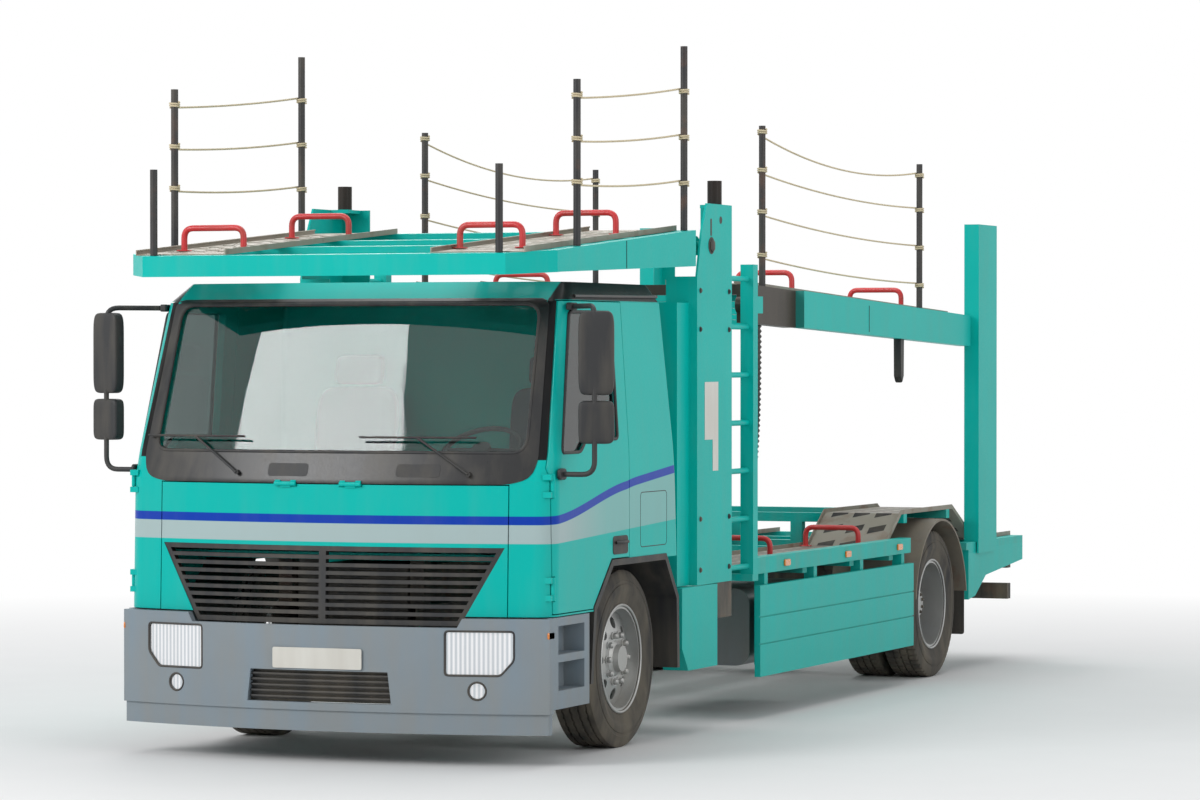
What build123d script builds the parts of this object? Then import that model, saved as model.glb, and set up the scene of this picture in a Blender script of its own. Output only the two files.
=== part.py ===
from build123d import *
import math
import os

# Car transporter truck: a two-axle rigid lorry with a deck over its cab and two decks behind it.
# Millimetres. The front looks to -Y, the driver's side is +X, the ground is z = 0.
# Stations are distances rearward from the front bumper; the origin lies halfway along, on the ground.

# Whole vehicle
TRUCK_LENGTH = 9000.0
BODY_HALF_WIDTH = 1250.0
FRONT_AXLE_STATION = 1475.0
REAR_OVERHANG = 1970.0
REAR_AXLE_STATION = TRUCK_LENGTH - REAR_OVERHANG
PIN_CLEARANCE = 0.05
SEAT_GAP = 0.3
COUPLING_BORE = 25.0

# Tyres, rims and hubs
TYRE_RADIUS = 487.0
TYRE_WIDTH = 270.0
TREAD_WIDTH = 226.0
BEAD_RADIUS = 286.0
SIDEWALL_BULGE = 10.0
FRONT_WHEEL_CENTRE = 1030.0
TWIN_TYRE_WIDTH = 248.0
TWIN_TREAD_WIDTH = 214.0
TWIN_INNER_CENTRE = 800.0
TWIN_OUTER_CENTRE = 1075.0
RIM_WALL = 12.0
RIM_LIP = 14.0
DISC_THICKNESS = 16.0
HAND_HOLE_RADIUS = 32.0
HAND_HOLE_CIRCLE = 196.0
HAND_HOLE_COUNT = 8
HUB_RADIUS = 110.0
FRONT_SPINDLE_RADIUS = 36.0
REAR_SPINDLE_RADIUS = 46.0

# Chassis frame
RAIL_INNER = 350.0
RAIL_FLANGE = 80.0
RAIL_BOTTOM = 600.0
RAIL_HEIGHT = 220.0
RAIL_WEB = 10.0
RAIL_START = 330.0
RAIL_END_GAP = 260.0
RAIL_OUTER = RAIL_INNER + RAIL_FLANGE
RAIL_TOP = RAIL_BOTTOM + RAIL_HEIGHT
CROSSMEMBER_STATIONS = (2250.0, 3300.0, 4400.0, REAR_AXLE_STATION - 1530.0, REAR_AXLE_STATION - 530.0,
                        REAR_AXLE_STATION + 570.0, TRUCK_LENGTH - 500.0)
CAB_MOUNT_STATIONS = (420.0, 1890.0)
CROSSMEMBER_WIDTH = 70.0
CROSSMEMBER_DEPTH = 90.0

# Axles, springs and steering
KINGPIN_OFFSET = 850.0
KINGPIN_RADIUS = 22.0
KINGPIN_BOSS = 46.0
KINGPIN_BOSS_HALF = 55.0
AXLE_BEAM_DROP = 70.0
AXLE_BEAM_HEIGHT = 90.0
AXLE_BEAM_WIDTH = 96.0
AXLE_TUBE_RADIUS = 60.0
HOUSING_RADIUS = 200.0
SPRING_WIDTH = 70.0
SPRING_HALF_LENGTH = 640.0
SPRING_THICKNESS = 46.0

# Cab
CAB_HALF_WIDTH = BODY_HALF_WIDTH - 5.0
CAB_WALL = 62.0
CAB_BOTTOM = 785.0
CAB_REAR_BOTTOM = 1030.0
CAB_FLOOR_TOP = 1095.0
CAB_FLOOR_THICKNESS = 38.0
CAB_ROOF = 2545.0
CORNER_RADIUS = 120.0
BACK_CORNER_RADIUS = 60.0
PANEL_GAP = 6.0
GLASS_THICKNESS = 6.0
GLASS_INSET = 14.0
FLAP_HINGE_STATION = 70.0
FLAP_HINGE_HEIGHT = 1473.0
FLAP_TOP = 1470.0
GRILLE_DEPTH = 40.0
GRILLE_RIM = 26.0
GRILLE_SLAT = 20.0
GRILLE_SLAT_COUNT = 8
WIPER_PIVOT_HEIGHT = 1530.0
WIPER_BLADE_HEIGHT = 1720.0
WIPER_BLADE_LENGTH = 640.0
WIPER_REACH = 300.0
WIPER_STAND = 30.0
DOOR_HINGE_STATION = 275.0
DOOR_HINGE_X = CAB_HALF_WIDTH - 11.0
DOOR_HINGE_HEIGHTS = (900.0, 1440.0)
FLAP_HINGE_STARTS = (-250.0, 130.0)
HINGE_RADIUS = 12.0
HINGE_PIN_RADIUS = 6.0
HINGE_LENGTH = 60.0
HINGE_EAR = 30.0
HINGE_SIDE_GAP = 1.0
MIRROR_X = CAB_HALF_WIDTH + 195.0
ARCH_BAND = 35.0
ARCH_INNER_FACE = 900.0

# Front bumper and its lamps
BUMPER_TOP = 777.0
BUMPER_BOTTOM = 280.0
BUMPER_LIP = 170.0
BUMPER_WALL = 40.0
BUMPER_SIDE_END = 250.0
BUMPER_SIDE_FRONT = 190.0
BUMPER_GRILLE_GAP = 7.0
FOG_LAMP_RADIUS = 46.0
FOG_LAMP_X = 880.0
FOG_LAMP_HEIGHT = 400.0
TAIL_LAMP_X = BODY_HALF_WIDTH - 350.0
TAIL_LAMP_HALF = 150.0
STEP_FRONT = 250.0
STEP_REAR = 742.0

# Decks
DECK_HALF_WIDTH = BODY_HALF_WIDTH
UPPER_HALF_WIDTH = BODY_HALF_WIDTH - 50.0
BEAM_THICKNESS = 70.0
TRACK_INNER = 600.0
TRACK_OUTER = BODY_HALF_WIDTH - 110.0
TRACK_PLATE = 6.0
TRACK_LIP = 30.0
DECK_CROSSBEAM_WIDTH = 70.0
DECK_CROSSBEAM_DEPTH = 60.0
OVER_CAB_PIVOT_STATION = 2600.0
OVER_CAB_PIVOT_HEIGHT = 2780.0
UPPER_PIVOT_STATION = 3490.0
UPPER_PIVOT_HEIGHT = 2450.0
PIVOT_PIN_RADIUS = 25.0
PIVOT_ARM_THICKNESS = 60.0
POST_ROD_RADIUS = 20.0
STOP_TUBE_RADIUS = 17.0
STOP_HEIGHT = 210.0

# Columns and ladder
COLUMN_FRONT = 2370.0
COLUMN_REAR = 2940.0
COLUMN_TOP = 3020.0
COLUMN_PLATE = 12.0
COLUMN_DEPTH = 190.0
COLUMN_FOOT = 845.0
FAIRING_INNER = BODY_HALF_WIDTH - 150.0
BRACE_FRONT = 2180.0
BRACE_TOP = 2450.0
BRACE_INNER = BODY_HALF_WIDTH - 190.0
BRACE_OUTER = BODY_HALF_WIDTH - 50.0
REAR_COLUMN_FRONT = TRUCK_LENGTH - 1140.0
REAR_COLUMN_REAR = TRUCK_LENGTH - 710.0
REAR_COLUMN_TOP = 3050.0
REAR_COLUMN_DEPTH = 104.0
LADDER_POST_FRONT = 3360.0
LADDER_POST_REAR = 3440.0
LADDER_POST_TOP = 2687.0
LADDER_POST_FOOT = 860.0
LADDER_INNER = BODY_HALF_WIDTH - 100.0
LADDER_OUTER = BODY_HALF_WIDTH - 20.0
RUNG_PITCH = 282.0
RUNG_TOP = 2601.0
RUNG_COUNT = 7
RUNG_RADIUS = 16.0

# Lower deck and side panels
LOWER_RAIL_TOP = 955.0
LOWER_RAIL_DEPTH = 97.0
LOWER_RAIL_OUTER = BODY_HALF_WIDTH - 20.0
LOWER_RAIL_WIDTH = 80.0
LOWER_TRACK = 900.0
RAISED_TRACK = 1104.0
SKIRT_FRONT = 3430.0
SKIRT_REAR = REAR_AXLE_STATION - 630.0
TANK_OUTER = BODY_HALF_WIDTH - 130.0
SKIRT_TOP = 790.0
SKIRT_BOTTOM = 250.0
SKIRT_THICKNESS = 36.0
SKIRT_SEAMS = (444.0, 605.0)
SKIRT_SEAM_SIZE = 8.0
FENDER_RADIUS = 556.0
FENDER_THICKNESS = 14.0
FENDER_INNER = 652.0
COUPLING_STATION = TRUCK_LENGTH - 360.0
TAIL_PANEL_FRONT = TRUCK_LENGTH - 1310.0
TAIL_PANEL_TOP = 820.0
TAIL_RAIL_TOP = 870.0


def y_at(station):
    """The Y coordinate of a station measured rearward from the front bumper."""
    return station - TRUCK_LENGTH / 2


def side_plate(points, x_low, x_high, growth=0.0):
    """Extrude a (station, height) outline across the vehicle, grown outward first if asked."""
    face = make_face(Polyline(*[(y_at(s), z) for s, z in points], close=True))
    if growth:
        face = offset(face, amount=growth, kind=Kind.INTERSECTION)
    return extrude(Plane.YZ.offset(x_low) * face, amount=x_high - x_low)


def front_plate(points, s_low, s_high, growth=0.0):
    """Extrude an (x, height) outline along the vehicle, grown outward first if asked."""
    plane = Plane(origin=(0, y_at(s_high), 0), x_dir=(1, 0, 0), z_dir=(0, -1, 0))
    face = make_face(Polyline(*points, close=True))
    if growth:
        face = offset(face, amount=growth, kind=Kind.INTERSECTION)
    return extrude(plane * face, amount=s_high - s_low)


def plan_plate(points, z_low, z_high, growth=0.0):
    """Extrude an (x, station) outline upward, grown outward first if asked."""
    face = make_face(Polyline(*[(x, y_at(s)) for x, s in points], close=True))
    if growth:
        face = offset(face, amount=growth, kind=Kind.INTERSECTION)
    return extrude(Plane.XY.offset(z_low) * face, amount=z_high - z_low)


def block(x_low, x_high, s_low, s_high, z_low, z_high):
    middle = Pos((x_low + x_high) / 2, y_at((s_low + s_high) / 2), (z_low + z_high) / 2)
    return middle * Box(x_high - x_low, s_high - s_low, z_high - z_low)


def cross_rod(radius, x_low, x_high, station, height):
    """A round bar across the vehicle."""
    return Pos((x_low + x_high) / 2, y_at(station), height) * Rot(0, 90, 0) * Cylinder(radius, x_high - x_low)


def upright_rod(radius, x, station, z_low, z_high):
    return Pos(x, y_at(station), (z_low + z_high) / 2) * Cylinder(radius, z_high - z_low)


def lengthwise_rod(radius, x, s_low, s_high, height):
    return Pos(x, y_at((s_low + s_high) / 2), height) * Rot(90, 0, 0) * Cylinder(radius, s_high - s_low)


def straight_rod(radius, start, end):
    """A round bar between two (x, station, height) points."""
    low = Vector(start[0], y_at(start[1]), start[2])
    high = Vector(end[0], y_at(end[1]), end[2])
    plane = Plane(origin=low, z_dir=high - low)
    return extrude(plane * Circle(radius), amount=(high - low).length)


def bent_tube(points, bends, radius):
    """A round tube along straight runs joined by arcs, from (x, station, height) points."""
    path = FilletPolyline(*[(x, y_at(s), z) for x, s, z in points], radius=bends)
    start = Plane(origin=path @ 0, z_dir=path % 0)
    return sweep(start * Circle(radius), path=path)


def other_side(shape):
    return mirror(shape, about=Plane.YZ)


def both_sides(*shapes):
    return list(shapes) + [other_side(shape) for shape in shapes]


def fuse(shapes):
    whole = shapes[0]
    for shape in shapes[1:]:
        whole = whole + shape
    return whole


def height_on(line, station):
    """Height at a station on a line of (station, height) points."""
    for (s_low, z_low), (s_high, z_high) in zip(line, line[1:]):
        if station <= s_high:
            break
    return z_low + (z_high - z_low) * (station - s_low) / (s_high - s_low)


# The cab is a loft through level sections.
# Columns: height, front at the middle, front at the sides, half width, back
CAB_SECTIONS = (
    (CAB_BOTTOM, 55.0, 235.0, CAB_HALF_WIDTH, 2120.0),
    (1490.0, 75.0, 255.0, CAB_HALF_WIDTH, 2072.0),
    (1640.0, 125.0, 300.0, CAB_HALF_WIDTH - 3.0, 2057.0),
    (2440.0, 400.0, 560.0, CAB_HALF_WIDTH - 55.0, 1973.0),
    (CAB_ROOF, 560.0, 700.0, CAB_HALF_WIDTH - 120.0, 1930.0),
)
SCREEN_ROW = 2
SCREEN_TOP_ROW = 3

# Outlines on the side of the cab, (station, height)
DOOR_OUTLINE = ((275.0, 800.0), (275.0, 1560.0), (318.0, 1690.0), (560.0, 2440.0), (1332.0, 2440.0),
                (1332.0, 800.0))
DOOR_WINDOW = ((380.0, 1640.0), (596.0, 2385.0), (1180.0, 2385.0), (1180.0, 1700.0), (720.0, 1700.0),
               (640.0, 1640.0))
ARCH_OUTLINE = ((785.0, 300.0), (850.0, 790.0), (1090.0, 1015.0), (1870.0, 1015.0), (2045.0, 790.0),
                (2062.0, 300.0))

# Outlines on the front of the cab, (x, height)
FLAP_OUTLINE = ((-1015.0, 700.0), (-1015.0, FLAP_TOP), (1015.0, FLAP_TOP), (1015.0, 700.0))
GRILLE_OUTLINE = ((-770.0, 735.0), (-1000.0, 1145.0), (1000.0, 1145.0), (770.0, 735.0))
SCREEN_OUTLINE = ((-1090.0, 1640.0), (-1060.0, 2425.0), (1060.0, 2425.0), (1090.0, 1640.0))
HEADLAMP_OUTLINE = ((710.0, 480.0), (710.0, 712.0), (1070.0, 712.0), (1070.0, 560.0), (1000.0, 480.0))
INTAKE_OUTLINE = ((-420.0, 320.0), (-400.0, 490.0), (400.0, 490.0), (420.0, 320.0))


def front_station(x, height):
    """Station of the cab's front face at a place given by x and height."""
    for low, high in zip(CAB_SECTIONS, CAB_SECTIONS[1:]):
        if height <= high[0]:
            break
    share = (height - low[0]) / (high[0] - low[0])
    front, side, half = [a + (b - a) * share for a, b in zip(low[1:4], high[1:4])]
    radius = (half ** 2 + (side - front) ** 2) / (2 * (side - front))
    return front + radius - math.sqrt(radius ** 2 - x ** 2)


def cab_form(inset):
    """The cab's outer form drawn in by an even inset at its walls and its roof."""
    faces = []
    for height, front, front_side, half, back in CAB_SECTIONS:
        level = min(height, CAB_ROOF - inset)
        reach = half - inset
        arc = ThreePointArc((-reach, y_at(front_side + inset)), (0, y_at(front + inset)),
                            (reach, y_at(front_side + inset)))
        sides = Polyline((reach, y_at(front_side + inset)), (reach, y_at(back - inset)),
                         (-reach, y_at(back - inset)), (-reach, y_at(front_side + inset)))
        face = make_face(arc + sides)
        face = fillet(face.vertices().sort_by(Axis.Y)[:2], CORNER_RADIUS - inset / 2)
        face = fillet(face.vertices().sort_by(Axis.Y)[-2:], BACK_CORNER_RADIUS - inset / 2)
        faces.append(Pos(0, 0, level) * face)
    return loft(faces, ruled=True)


def front_sheet(section_rows, outset, thickness):
    """A curved sheet that follows the front of the cab through two of its sections."""
    faces = []
    for height, front, front_side, half, back in section_rows:
        outer = ThreePointArc((-half, y_at(front_side + outset)), (0, y_at(front + outset)),
                              (half, y_at(front_side + outset)))
        inner = ThreePointArc((half, y_at(front_side + outset + thickness)),
                              (0, y_at(front + outset + thickness)),
                              (-half, y_at(front_side + outset + thickness)))
        left = Line(outer @ 1, inner @ 0)
        right = Line(inner @ 1, outer @ 0)
        faces.append(Pos(0, 0, height) * make_face(outer + left + inner + right))
    return loft(faces, ruled=True)


def door_zone(growth):
    """The space a door takes up, from the inner face of the cab's wall outward."""
    inner = [(half - CAB_WALL - growth, height) for height, front, side, half, back in CAB_SECTIONS]
    band = front_plate(inner + [(1400.0, CAB_ROOF), (1400.0, CAB_BOTTOM)], 200.0, 1400.0)
    return band & side_plate(DOOR_OUTLINE, 1000.0, 1400.0, growth)


def door_rod(radius, z_low, z_high):
    return upright_rod(radius, DOOR_HINGE_X, DOOR_HINGE_STATION, z_low, z_high)


def flap_rod(radius, x_low, x_high):
    return cross_rod(radius, x_low, x_high, FLAP_HINGE_STATION, FLAP_HINGE_HEIGHT)


def hinge_parts(rod, start):
    """Barrel, pinned ears and the room that each needs, from a maker of round bars on the hinge's axis."""
    end = start + HINGE_LENGTH
    low = start - HINGE_SIDE_GAP
    high = end + HINGE_SIDE_GAP
    bore = rod(HINGE_PIN_RADIUS + PIN_CLEARANCE, low, high)
    barrel = rod(HINGE_RADIUS, start, end) - bore
    ears = fuse([rod(HINGE_PIN_RADIUS, low - HINGE_EAR / 2, high + HINGE_EAR / 2),
                 rod(HINGE_RADIUS, low - HINGE_EAR, low), rod(HINGE_RADIUS, high, high + HINGE_EAR)])
    room = HINGE_RADIUS + PANEL_GAP
    ear_room = fuse([bore, rod(room, low - HINGE_EAR - PANEL_GAP, start), rod(room, end, high + HINGE_EAR + PANEL_GAP)])
    return barrel, ears, rod(room, low, high), ear_room


def hang_door(body, door):
    """Barrels on the door and pinned ears on the cab, for the door at +X."""
    edge = DOOR_HINGE_STATION - PANEL_GAP
    for height in DOOR_HINGE_HEIGHTS:
        barrel, ears, barrel_room, ear_room = hinge_parts(door_rod, height)
        for low in (height - HINGE_SIDE_GAP - HINGE_EAR, height + HINGE_LENGTH + HINGE_SIDE_GAP):
            ears = ears + block(DOOR_HINGE_X - 44.0, DOOR_HINGE_X + 4.0, edge - 30.0, edge, low, low + HINGE_EAR)
        body = body - barrel_room - other_side(barrel_room) + ears + other_side(ears)
        door = door - ear_room + barrel
    return body, door


def hang_flap(body, flap):
    """Two hinges on the flap's upper edge, with lugs down to the flap and up to the cab."""
    rear = FLAP_HINGE_STATION + 40.0
    for start in FLAP_HINGE_STARTS:
        barrel, ears, barrel_room, ear_room = hinge_parts(flap_rod, start)
        lug = block(start, start + HINGE_LENGTH, FLAP_HINGE_STATION, rear, FLAP_TOP - 16.0, FLAP_TOP)
        flap = (flap + lug) - ear_room + barrel
        for low in (start - HINGE_SIDE_GAP - HINGE_EAR, start + HINGE_LENGTH + HINGE_SIDE_GAP):
            ears = ears + block(low, low + HINGE_EAR, FLAP_HINGE_STATION, rear, FLAP_TOP + PANEL_GAP,
                                FLAP_TOP + PANEL_GAP + 16.0)
        body = body - barrel_room + ears
    return body, flap


def make_cab():
    """Cab body, its two doors and the flap over the grille, split along the real panel gaps."""
    outer = cab_form(0.0)
    void = cab_form(CAB_WALL)
    skin = outer - void
    floor = void & block(-CAB_HALF_WIDTH, CAB_HALF_WIDTH, 0.0, 2200.0,
                         CAB_FLOOR_TOP - CAB_FLOOR_THICKNESS, CAB_FLOOR_TOP)
    arch = side_plate(ARCH_OUTLINE, -1400.0, 1400.0, ARCH_BAND)
    skin = skin - arch
    rear_low = block(-1400.0, 1400.0, FRONT_AXLE_STATION, 2200.0, CAB_BOTTOM - 50.0, CAB_REAR_BOTTOM)
    body = skin - rear_low
    body = body + floor
    door_gap = door_zone(PANEL_GAP)
    body = body - door_gap - other_side(door_gap)
    body = body - front_plate(FLAP_OUTLINE, 0.0, 420.0, PANEL_GAP)
    body = body - front_plate(SCREEN_OUTLINE, 0.0, 800.0)
    door = skin & door_zone(0.0)
    door = door - side_plate(ARCH_OUTLINE, 1000.0, 1400.0, ARCH_BAND + PANEL_GAP)
    door = door - side_plate(DOOR_WINDOW, 1000.0, 1400.0)
    flap = skin & front_plate(FLAP_OUTLINE, 0.0, 420.0)
    flap = flap - front_plate(GRILLE_OUTLINE, 0.0, 420.0, SEAT_GAP)
    body, door = hang_door(body, door)
    body, flap = hang_flap(body, flap)
    return body, door, flap


def make_windscreen():
    rows = (CAB_SECTIONS[SCREEN_ROW], CAB_SECTIONS[SCREEN_TOP_ROW])
    sheet = front_sheet(rows, GLASS_INSET, GLASS_THICKNESS)
    return sheet & front_plate(SCREEN_OUTLINE, 0.0, 800.0, -SEAT_GAP)


def make_door_glass():
    low_row = CAB_SECTIONS[SCREEN_ROW]
    top_row = CAB_SECTIONS[SCREEN_TOP_ROW]
    outer_low = (low_row[3] - GLASS_INSET, low_row[0])
    outer_top = (top_row[3] - GLASS_INSET, top_row[0])
    sheet = front_plate((outer_low, outer_top, (outer_top[0] - GLASS_THICKNESS, outer_top[1]),
                         (outer_low[0] - GLASS_THICKNESS, outer_low[1])), 300.0, 1300.0)
    return sheet & side_plate(DOOR_WINDOW, 1000.0, 1400.0, -SEAT_GAP)


def bumper_form(inset, z_low, z_high):
    """The bumper's plan outline drawn in by an inset, extruded between two heights."""
    reach = BODY_HALF_WIDTH - inset
    back = BUMPER_SIDE_END + 2 * inset
    arc = ThreePointArc((-reach, y_at(BUMPER_SIDE_FRONT + inset)), (0, y_at(inset)),
                        (reach, y_at(BUMPER_SIDE_FRONT + inset)))
    sides = Polyline((reach, y_at(BUMPER_SIDE_FRONT + inset)), (reach, y_at(back)),
                     (-reach, y_at(back)), (-reach, y_at(BUMPER_SIDE_FRONT + inset)))
    return extrude(Plane.XY.offset(z_low) * make_face(arc + sides), amount=z_high - z_low)


def make_bumper():
    shell = bumper_form(0.0, BUMPER_BOTTOM, BUMPER_TOP) - bumper_form(BUMPER_WALL, BUMPER_BOTTOM, BUMPER_TOP)
    lip = bumper_form(10.0, BUMPER_LIP, BUMPER_BOTTOM) - bumper_form(BUMPER_WALL, BUMPER_LIP, BUMPER_BOTTOM)
    lip = lip & block(-1400.0, 1400.0, 0.0, BUMPER_SIDE_END, BUMPER_LIP, BUMPER_BOTTOM)
    lamp_hole = front_plate(HEADLAMP_OUTLINE, 0.0, 400.0)
    shell = shell + lip - lamp_hole - other_side(lamp_hole)
    shell = shell - front_plate(INTAKE_OUTLINE, 0.0, 400.0)
    shell = shell - front_plate(GRILLE_OUTLINE, 0.0, 400.0, BUMPER_GRILLE_GAP)
    for x in (-FOG_LAMP_X, FOG_LAMP_X):
        shell = shell - lengthwise_rod(FOG_LAMP_RADIUS, x, 0.0, 300.0, FOG_LAMP_HEIGHT)
    bracket = block(RAIL_INNER, RAIL_OUTER, BUMPER_WALL, RAIL_START, 520.0, 700.0)
    return shell + bracket + other_side(bracket)


def make_front_lamps():
    """Headlamps that fill their openings, and round fog lamps below them."""
    form = bumper_form(6.0, BUMPER_BOTTOM, BUMPER_TOP) - bumper_form(110.0, BUMPER_BOTTOM, BUMPER_TOP)
    headlamp = form & front_plate(HEADLAMP_OUTLINE, 0.0, 245.0, -SEAT_GAP)
    fog = form & lengthwise_rod(FOG_LAMP_RADIUS - SEAT_GAP, FOG_LAMP_X, 0.0, 245.0, FOG_LAMP_HEIGHT)
    return both_sides(headlamp, fog)


def make_grille():
    """Slatted grille: a rim and level slats on the flap's curve."""
    row = CAB_SECTIONS[0]
    low = (GRILLE_OUTLINE[0][1], row[1], row[2], row[3], row[4])
    high = (GRILLE_OUTLINE[1][1], row[1] + 9.0, row[2] + 9.0, row[3], row[4])
    band = front_sheet((low, high), 4.0, GRILLE_DEPTH)
    rim = front_plate(GRILLE_OUTLINE, 0.0, 420.0) - front_plate(GRILLE_OUTLINE, 0.0, 420.0, -GRILLE_RIM)
    pieces = [rim]
    clear = GRILLE_OUTLINE[1][1] - GRILLE_OUTLINE[0][1] - 2 * GRILLE_RIM
    pitch = (clear + GRILLE_SLAT) / (GRILLE_SLAT_COUNT + 1)
    for index in range(GRILLE_SLAT_COUNT):
        low_edge = GRILLE_OUTLINE[0][1] + GRILLE_RIM + pitch * (index + 1) - GRILLE_SLAT
        slat = front_plate(((-GRILLE_OUTLINE[2][0], low_edge), (-GRILLE_OUTLINE[2][0], low_edge + GRILLE_SLAT),
                            (GRILLE_OUTLINE[2][0], low_edge + GRILLE_SLAT), (GRILLE_OUTLINE[2][0], low_edge)),
                           0.0, 420.0)
        pieces.append(slat & front_plate(GRILLE_OUTLINE, 0.0, 420.0, -GRILLE_RIM / 2))
    centre_bar = block(-20.0, 20.0, 0.0, 420.0, GRILLE_OUTLINE[0][1] + 5.0, GRILLE_OUTLINE[1][1] - 5.0)
    pieces.append(centre_bar)
    return band & fuse(pieces)


def make_arch_band():
    """Dark guard over the front wheel, open below."""
    band = side_plate(ARCH_OUTLINE, ARCH_INNER_FACE, BODY_HALF_WIDTH, ARCH_BAND - SEAT_GAP)
    band = band - side_plate(ARCH_OUTLINE, ARCH_INNER_FACE - 10.0, BODY_HALF_WIDTH + 10.0)
    band = band - block(0.0, 1400.0, 600.0, 2300.0, 200.0, 400.0)
    inner_rest = block(0.0, CAB_HALF_WIDTH - CAB_WALL - 3.0, 600.0, 2300.0, CAB_FLOOR_TOP - 60.0, 1200.0)
    return band - inner_rest


def make_step_panel():
    """Step panel below the door, with two treads cut into it."""
    panel = block(BODY_HALF_WIDTH - 170.0, BODY_HALF_WIDTH, STEP_FRONT, STEP_REAR, 300.0, 780.0)
    for low in (395.0, 585.0):
        panel = panel - block(BODY_HALF_WIDTH - 120.0, BODY_HALF_WIDTH + 10.0, STEP_FRONT + 60.0, STEP_REAR - 70.0,
                              low, low + 150.0)
    return panel


# Dashboard, steering wheel and seats
DRIVER_X = 600.0
DASH_OUTLINE = ((400.0, 1240.0), (340.0, 1500.0), (420.0, 1585.0), (640.0, 1560.0), (760.0, 1440.0),
                (740.0, 1240.0))


def make_dashboard():
    dash = side_plate(DASH_OUTLINE, 85.0 - CAB_HALF_WIDTH, CAB_HALF_WIDTH - 85.0)
    console = block(-260.0, 260.0, 470.0, 720.0, CAB_FLOOR_TOP, 1300.0)
    return dash + console


def make_steering_wheel():
    """Rim, hub, spokes and column, tilted towards the driver."""
    tilt = Pos(DRIVER_X, y_at(800.0), 1640.0) * Rot(32, 0, 0)
    rim = tilt * Torus(215.0, 14.0)
    hub = tilt * Cylinder(52.0, 40.0)
    spokes = [tilt * Rot(0, 0, turn) * Pos(130.0, 0, 0) * Box(170.0, 26.0, 10.0) for turn in (0, 180, 270)]
    column = tilt * Pos(0, 0, -105.0) * Cylinder(24.0, 190.0)
    return fuse([rim, hub, column] + spokes)


def make_seat_base():
    return block(DRIVER_X - 200.0, DRIVER_X + 200.0, 1150.0, 1780.0, CAB_FLOOR_TOP, 1390.0)


def make_seat_cushion():
    pad = block(DRIVER_X - 250.0, DRIVER_X + 250.0, 1100.0, 1640.0, 1390.0 + SEAT_GAP, 1520.0)
    return fillet(pad.edges().filter_by(Axis.Z), 60.0)


def make_seat_back():
    back = side_plate(((1660.0, 1420.0), (1780.0, 1420.0), (1880.0, 2160.0), (1780.0, 2160.0)),
                      DRIVER_X - 240.0, DRIVER_X + 240.0)
    foot = block(DRIVER_X - 190.0, DRIVER_X + 190.0, 1660.0, 1780.0, 1390.0, 1420.0)
    return back, foot


def make_wiper(pivot_x):
    """A parked wiper: a pivot on the cab's face, an arm that leans towards -X and a level blade."""
    seat = front_station(pivot_x, WIPER_PIVOT_HEIGHT)
    root = (pivot_x, seat - WIPER_STAND, WIPER_PIVOT_HEIGHT)
    middle_x = pivot_x - WIPER_REACH
    middle = (middle_x, front_station(middle_x, WIPER_BLADE_HEIGHT) - WIPER_STAND, WIPER_BLADE_HEIGHT)
    pivot = straight_rod(12.0, root, (pivot_x, seat + WIPER_STAND, WIPER_PIVOT_HEIGHT)) - cab_form(-SEAT_GAP)
    pieces = [pivot, straight_rod(7.0, root, middle)]
    for end_x in (middle_x - WIPER_BLADE_LENGTH / 2, middle_x + WIPER_BLADE_LENGTH / 2):
        end = (end_x, front_station(end_x, WIPER_BLADE_HEIGHT) - WIPER_STAND, WIPER_BLADE_HEIGHT)
        pieces.append(straight_rod(6.0, middle, end))
    return fuse(pieces)


def mirror_housing(z_low, z_high, width):
    """A mirror head turned so that its glass faces the driver."""
    head = Box(width, 74.0, z_high - z_low)
    head = fillet(head.edges().filter_by(Axis.Z), 24.0)
    return Pos(MIRROR_X, y_at(370.0), (z_low + z_high) / 2) * Rot(0, 0, -35) * head


def make_mirror():
    arm = bent_tube(((CAB_HALF_WIDTH + 0.2, 345.0, 1530.0), (MIRROR_X, 345.0, 1530.0), (MIRROR_X, 345.0, 2412.0),
                     (CAB_HALF_WIDTH - 30.0, 600.0, 2412.0)), 60.0, 14.0)
    arm = arm + block(CAB_HALF_WIDTH - 51.6, CAB_HALF_WIDTH - 20.0, 570.0, 640.0, 2396.0, 2428.0)
    return arm + mirror_housing(1690.0, 1915.0, 200.0) + mirror_housing(1945.0, 2385.0, 200.0)


def tyre_ring(width, tread, centre):
    """A tyre as a ring turned about its axle, with a flat tread and leaning sidewalls."""
    half = width / 2
    half_tread = tread / 2
    middle = (TYRE_RADIUS + BEAD_RADIUS) / 2
    half_bead = half - 3 * SIDEWALL_BULGE
    profile = Polyline((-half_bead, BEAD_RADIUS), (-half, middle), (-half_tread, TYRE_RADIUS),
                       (half_tread, TYRE_RADIUS), (half, middle), (half_bead, BEAD_RADIUS), close=True)
    ring = revolve(Plane.XY * make_face(profile), axis=Axis.X)
    return Pos(centre, 0, 0) * ring


def wheel_turned(profile_points):
    """A solid turned about the axle from (x, radius) points."""
    return revolve(make_face(Polyline(*profile_points, close=True)), axis=Axis.X)


def rim_barrel(width, centre):
    half = width / 2 - 3 * SIDEWALL_BULGE
    outer = BEAD_RADIUS
    inner = BEAD_RADIUS - RIM_WALL
    return wheel_turned(((centre - half, outer), (centre + half, outer), (centre + half, inner),
                         (centre - half, inner)))


def hand_holes(x_low, x_high):
    holes = []
    for index in range(HAND_HOLE_COUNT):
        turn = 360.0 * index / HAND_HOLE_COUNT
        hole = Rot(turn, 0, 0) * Pos((x_low + x_high) / 2, 0, HAND_HOLE_CIRCLE) * Rot(0, 90, 0)
        holes.append(hole * Cylinder(HAND_HOLE_RADIUS, x_high - x_low))
    return holes


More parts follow.
